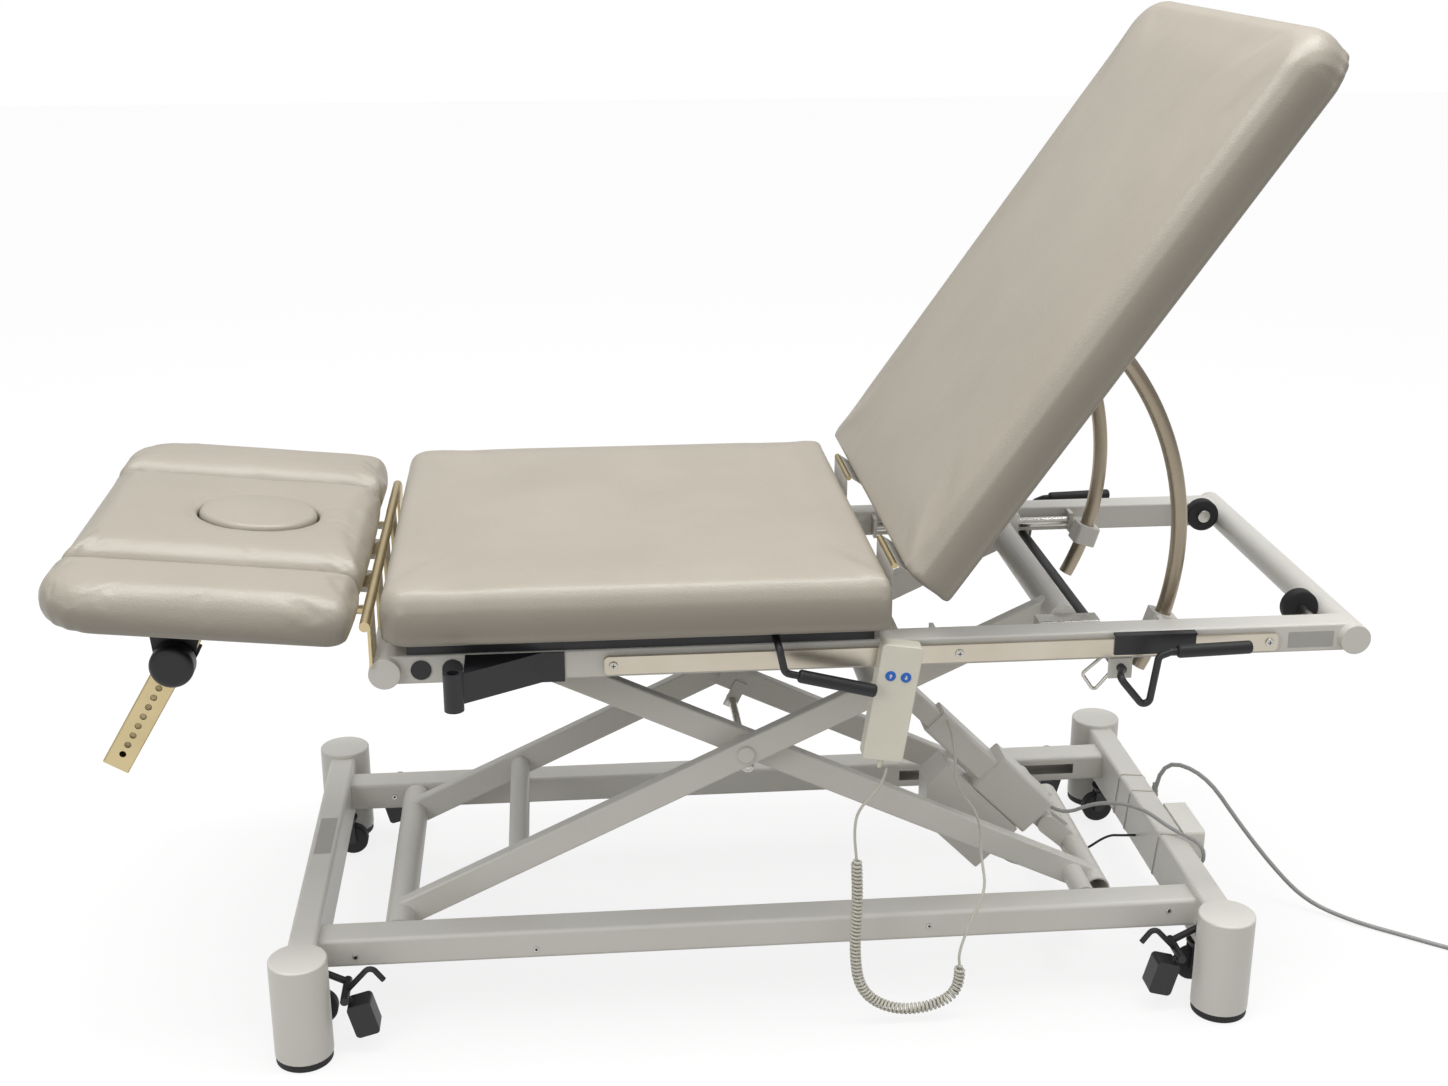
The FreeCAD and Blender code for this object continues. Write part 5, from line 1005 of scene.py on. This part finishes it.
for i, y in enumerate((0.113, 0.055, -0.094)):
    bm = bmesh.new()
    ring = []
    for k, (side_x, side_z, drift) in enumerate(askew):
        x = (beam_x[1] + tie_gap) if side_x > 0 else (beam_x[0] - tie_gap)
        z = (beam_z[1] + tie_gap) if side_z > 0 else (beam_z[0] - tie_gap)
        cut_corner = [(x, z - side_z * tie_round), (x - side_x * tie_round, z)]
        for corner_x, corner_z in cut_corner if k % 2 == 0 else reversed(cut_corner):
            ring.append(bm.verts.new(placed(corner_x, y + drift, corner_z)))
    edges = [bm.edges.new(pair) for pair in zip(ring, ring[1:] + ring[:1])]
    band = bmesh.ops.extrude_edge_only(bm, edges=edges)["geom"]
    bmesh.ops.translate(bm, vec=(0, tie_width, 0),
                        verts=[v for v in band if isinstance(v, bmesh.types.BMVert)])
    bmesh.ops.recalc_face_normals(bm, faces=bm.faces)
    beam_middle = placed(sum(beam_x) / 2, y, sum(beam_z) / 2)
    outwards = sum(face.normal.dot(face.calc_center_median() - beam_middle) for face in bm.faces)
    if outwards < 0:
        bmesh.ops.reverse_faces(bm, faces=bm.faces)
    bmesh.ops.solidify(bm, geom=bm.faces, thickness=-tie_thick)
    bmesh.ops.recalc_face_normals(bm, faces=bm.faces)
    piece(f"cable_tie_{i}", bm, pale_sheath, "base", smooth=False)

# %% [markdown]
# Each blue button carries a plain white arrow. The outline is drawn flat, then leaned with
# the hand control.

# %% Arrows on the buttons
ink_thick = 0.0001
arrow = ((0.0, 0.0032), (0.0026, 0.0002), (0.0009, 0.0002), (0.0009, -0.0030), (-0.0009, -0.0030),
         (-0.0009, 0.0002), (-0.0026, 0.0002))
for name, node, body, up in (("arrow_up", "button_up", "up_button", 1),
                             ("arrow_down", "button_down", "down_button", -1)):
    low, high = (Vector(corner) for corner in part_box(node))
    middle = (low + high) / 2
    lean = Matrix.Translation(middle) @ handset_leaned.to_3x3().to_4x4()
    bm = bmesh.new()
    points = arrow if up > 0 else [(x, -z) for x, z in arrow]
    outline_verts = [bm.verts.new((x, low.y - middle.y - ink_thick, z)) for x, z in points]
    face = bm.faces.new(outline_verts)
    thick = bmesh.ops.extrude_face_region(bm, geom=[face])
    raised = [v for v in thick["geom"] if isinstance(v, bmesh.types.BMVert)]
    bmesh.ops.translate(bm, vec=(0, -ink_thick, 0), verts=raised)
    bmesh.ops.transform(bm, matrix=lean, verts=bm.verts)
    bmesh.ops.recalc_face_normals(bm, faces=bm.faces)
    piece(name, bm, white_ink, body, smooth=False)

# %% [markdown]
# ## Floor and light
#
# A pale floor and a plain bright room keep the attention on the table. The world gives
# most of the light from every side, and two large soft lamps shape the cushions.

# %% Floor, world and lamps
floor_bm = bmesh.new()
bmesh.ops.create_grid(floor_bm, x_segments=1, y_segments=1, size=12.0)
floor_mesh = bpy.data.meshes.new("floor")
floor_bm.to_mesh(floor_mesh)
floor_bm.free()
floor = bpy.data.objects.new("floor", floor_mesh)
scene.collection.objects.link(floor)
floor_material, tree = empty_material("pale_floor")
paths = add(tree, "LightPath")
seen = add(tree, "Math", {0: paths.outputs["Is Camera Ray"], 1: paths.outputs["Is Glossy Ray"]},
           operation="MAXIMUM")
# The picture sees a white floor, and the table only gets the bounce of a darker one
floor_tone = two_tones(tree, seen.outputs["Value"], "#8E8C87", "#FBFBFA")
matt = add(tree, "BsdfDiffuse", {"Color": floor_tone.outputs["Color"]})
glow = add(tree, "Emission", {"Color": colour("#FFFFFF"), "Strength": 1.0})
floor_share = add(tree, "Math", {0: seen.outputs["Value"], 1: 0.82}, operation="MULTIPLY")
floor_mix = add(tree, "MixShader", {0: floor_share.outputs["Value"], 1: matt.outputs["BSDF"],
                                    2: glow.outputs["Emission"]})
add(tree, "OutputMaterial", {"Surface": floor_mix.outputs["Shader"]})
floor.data.materials.append(floor_material)

world = bpy.data.worlds.new("bright_room")
scene.world = world
world.use_nodes = True
tree = world.node_tree
tree.nodes.clear()
paths = add(tree, "LightPath")
seen = add(tree, "Math", {0: paths.outputs["Is Camera Ray"],
                          1: paths.outputs["Is Transmission Ray"]}, operation="MAXIMUM")
# The room is brighter overhead than at its walls
direction = add(tree, "TexCoord").outputs["Generated"]
height = add(tree, "SeparateXYZ", {"Vector": direction}).outputs["Z"]
bright = add(tree, "MapRange", {"Value": height, "From Min": 0.0, "From Max": 1.0,
                                "To Min": 0.36, "To Max": 1.15})
room = add(tree, "Background", {"Color": colour("#FFFFFF"), "Strength": bright.outputs["Result"]})
backdrop = add(tree, "Background", {"Color": colour("#FFFFFF"), "Strength": 1.0})
mixed = add(tree, "MixShader", {0: seen.outputs["Value"], 1: room.outputs["Background"],
                                2: backdrop.outputs["Background"]})
add(tree, "OutputWorld", {"Surface": mixed.outputs["Shader"]})


def soft_lamp(name, place, aim, size, power):
    """A rectangular lamp that faces a point."""
    data = bpy.data.lights.new(name, "AREA")
    data.shape = "RECTANGLE"
    data.size, data.size_y = size
    data.energy = power
    lamp = bpy.data.objects.new(name, data)
    lamp.location = place
    lamp.rotation_euler = (Vector(aim) - Vector(place)).to_track_quat("-Z", "Y").to_euler()
    scene.collection.objects.link(lamp)


soft_lamp("ceiling_light", (0.0, -0.2, 3.2), (0.0, -0.199, 0.6), (3.4, 1.1), 78)
soft_lamp("window_side", (-2.6, -3.0, 2.2), (0.0, 0.0, 0.6), (1.6, 1.6), 20)
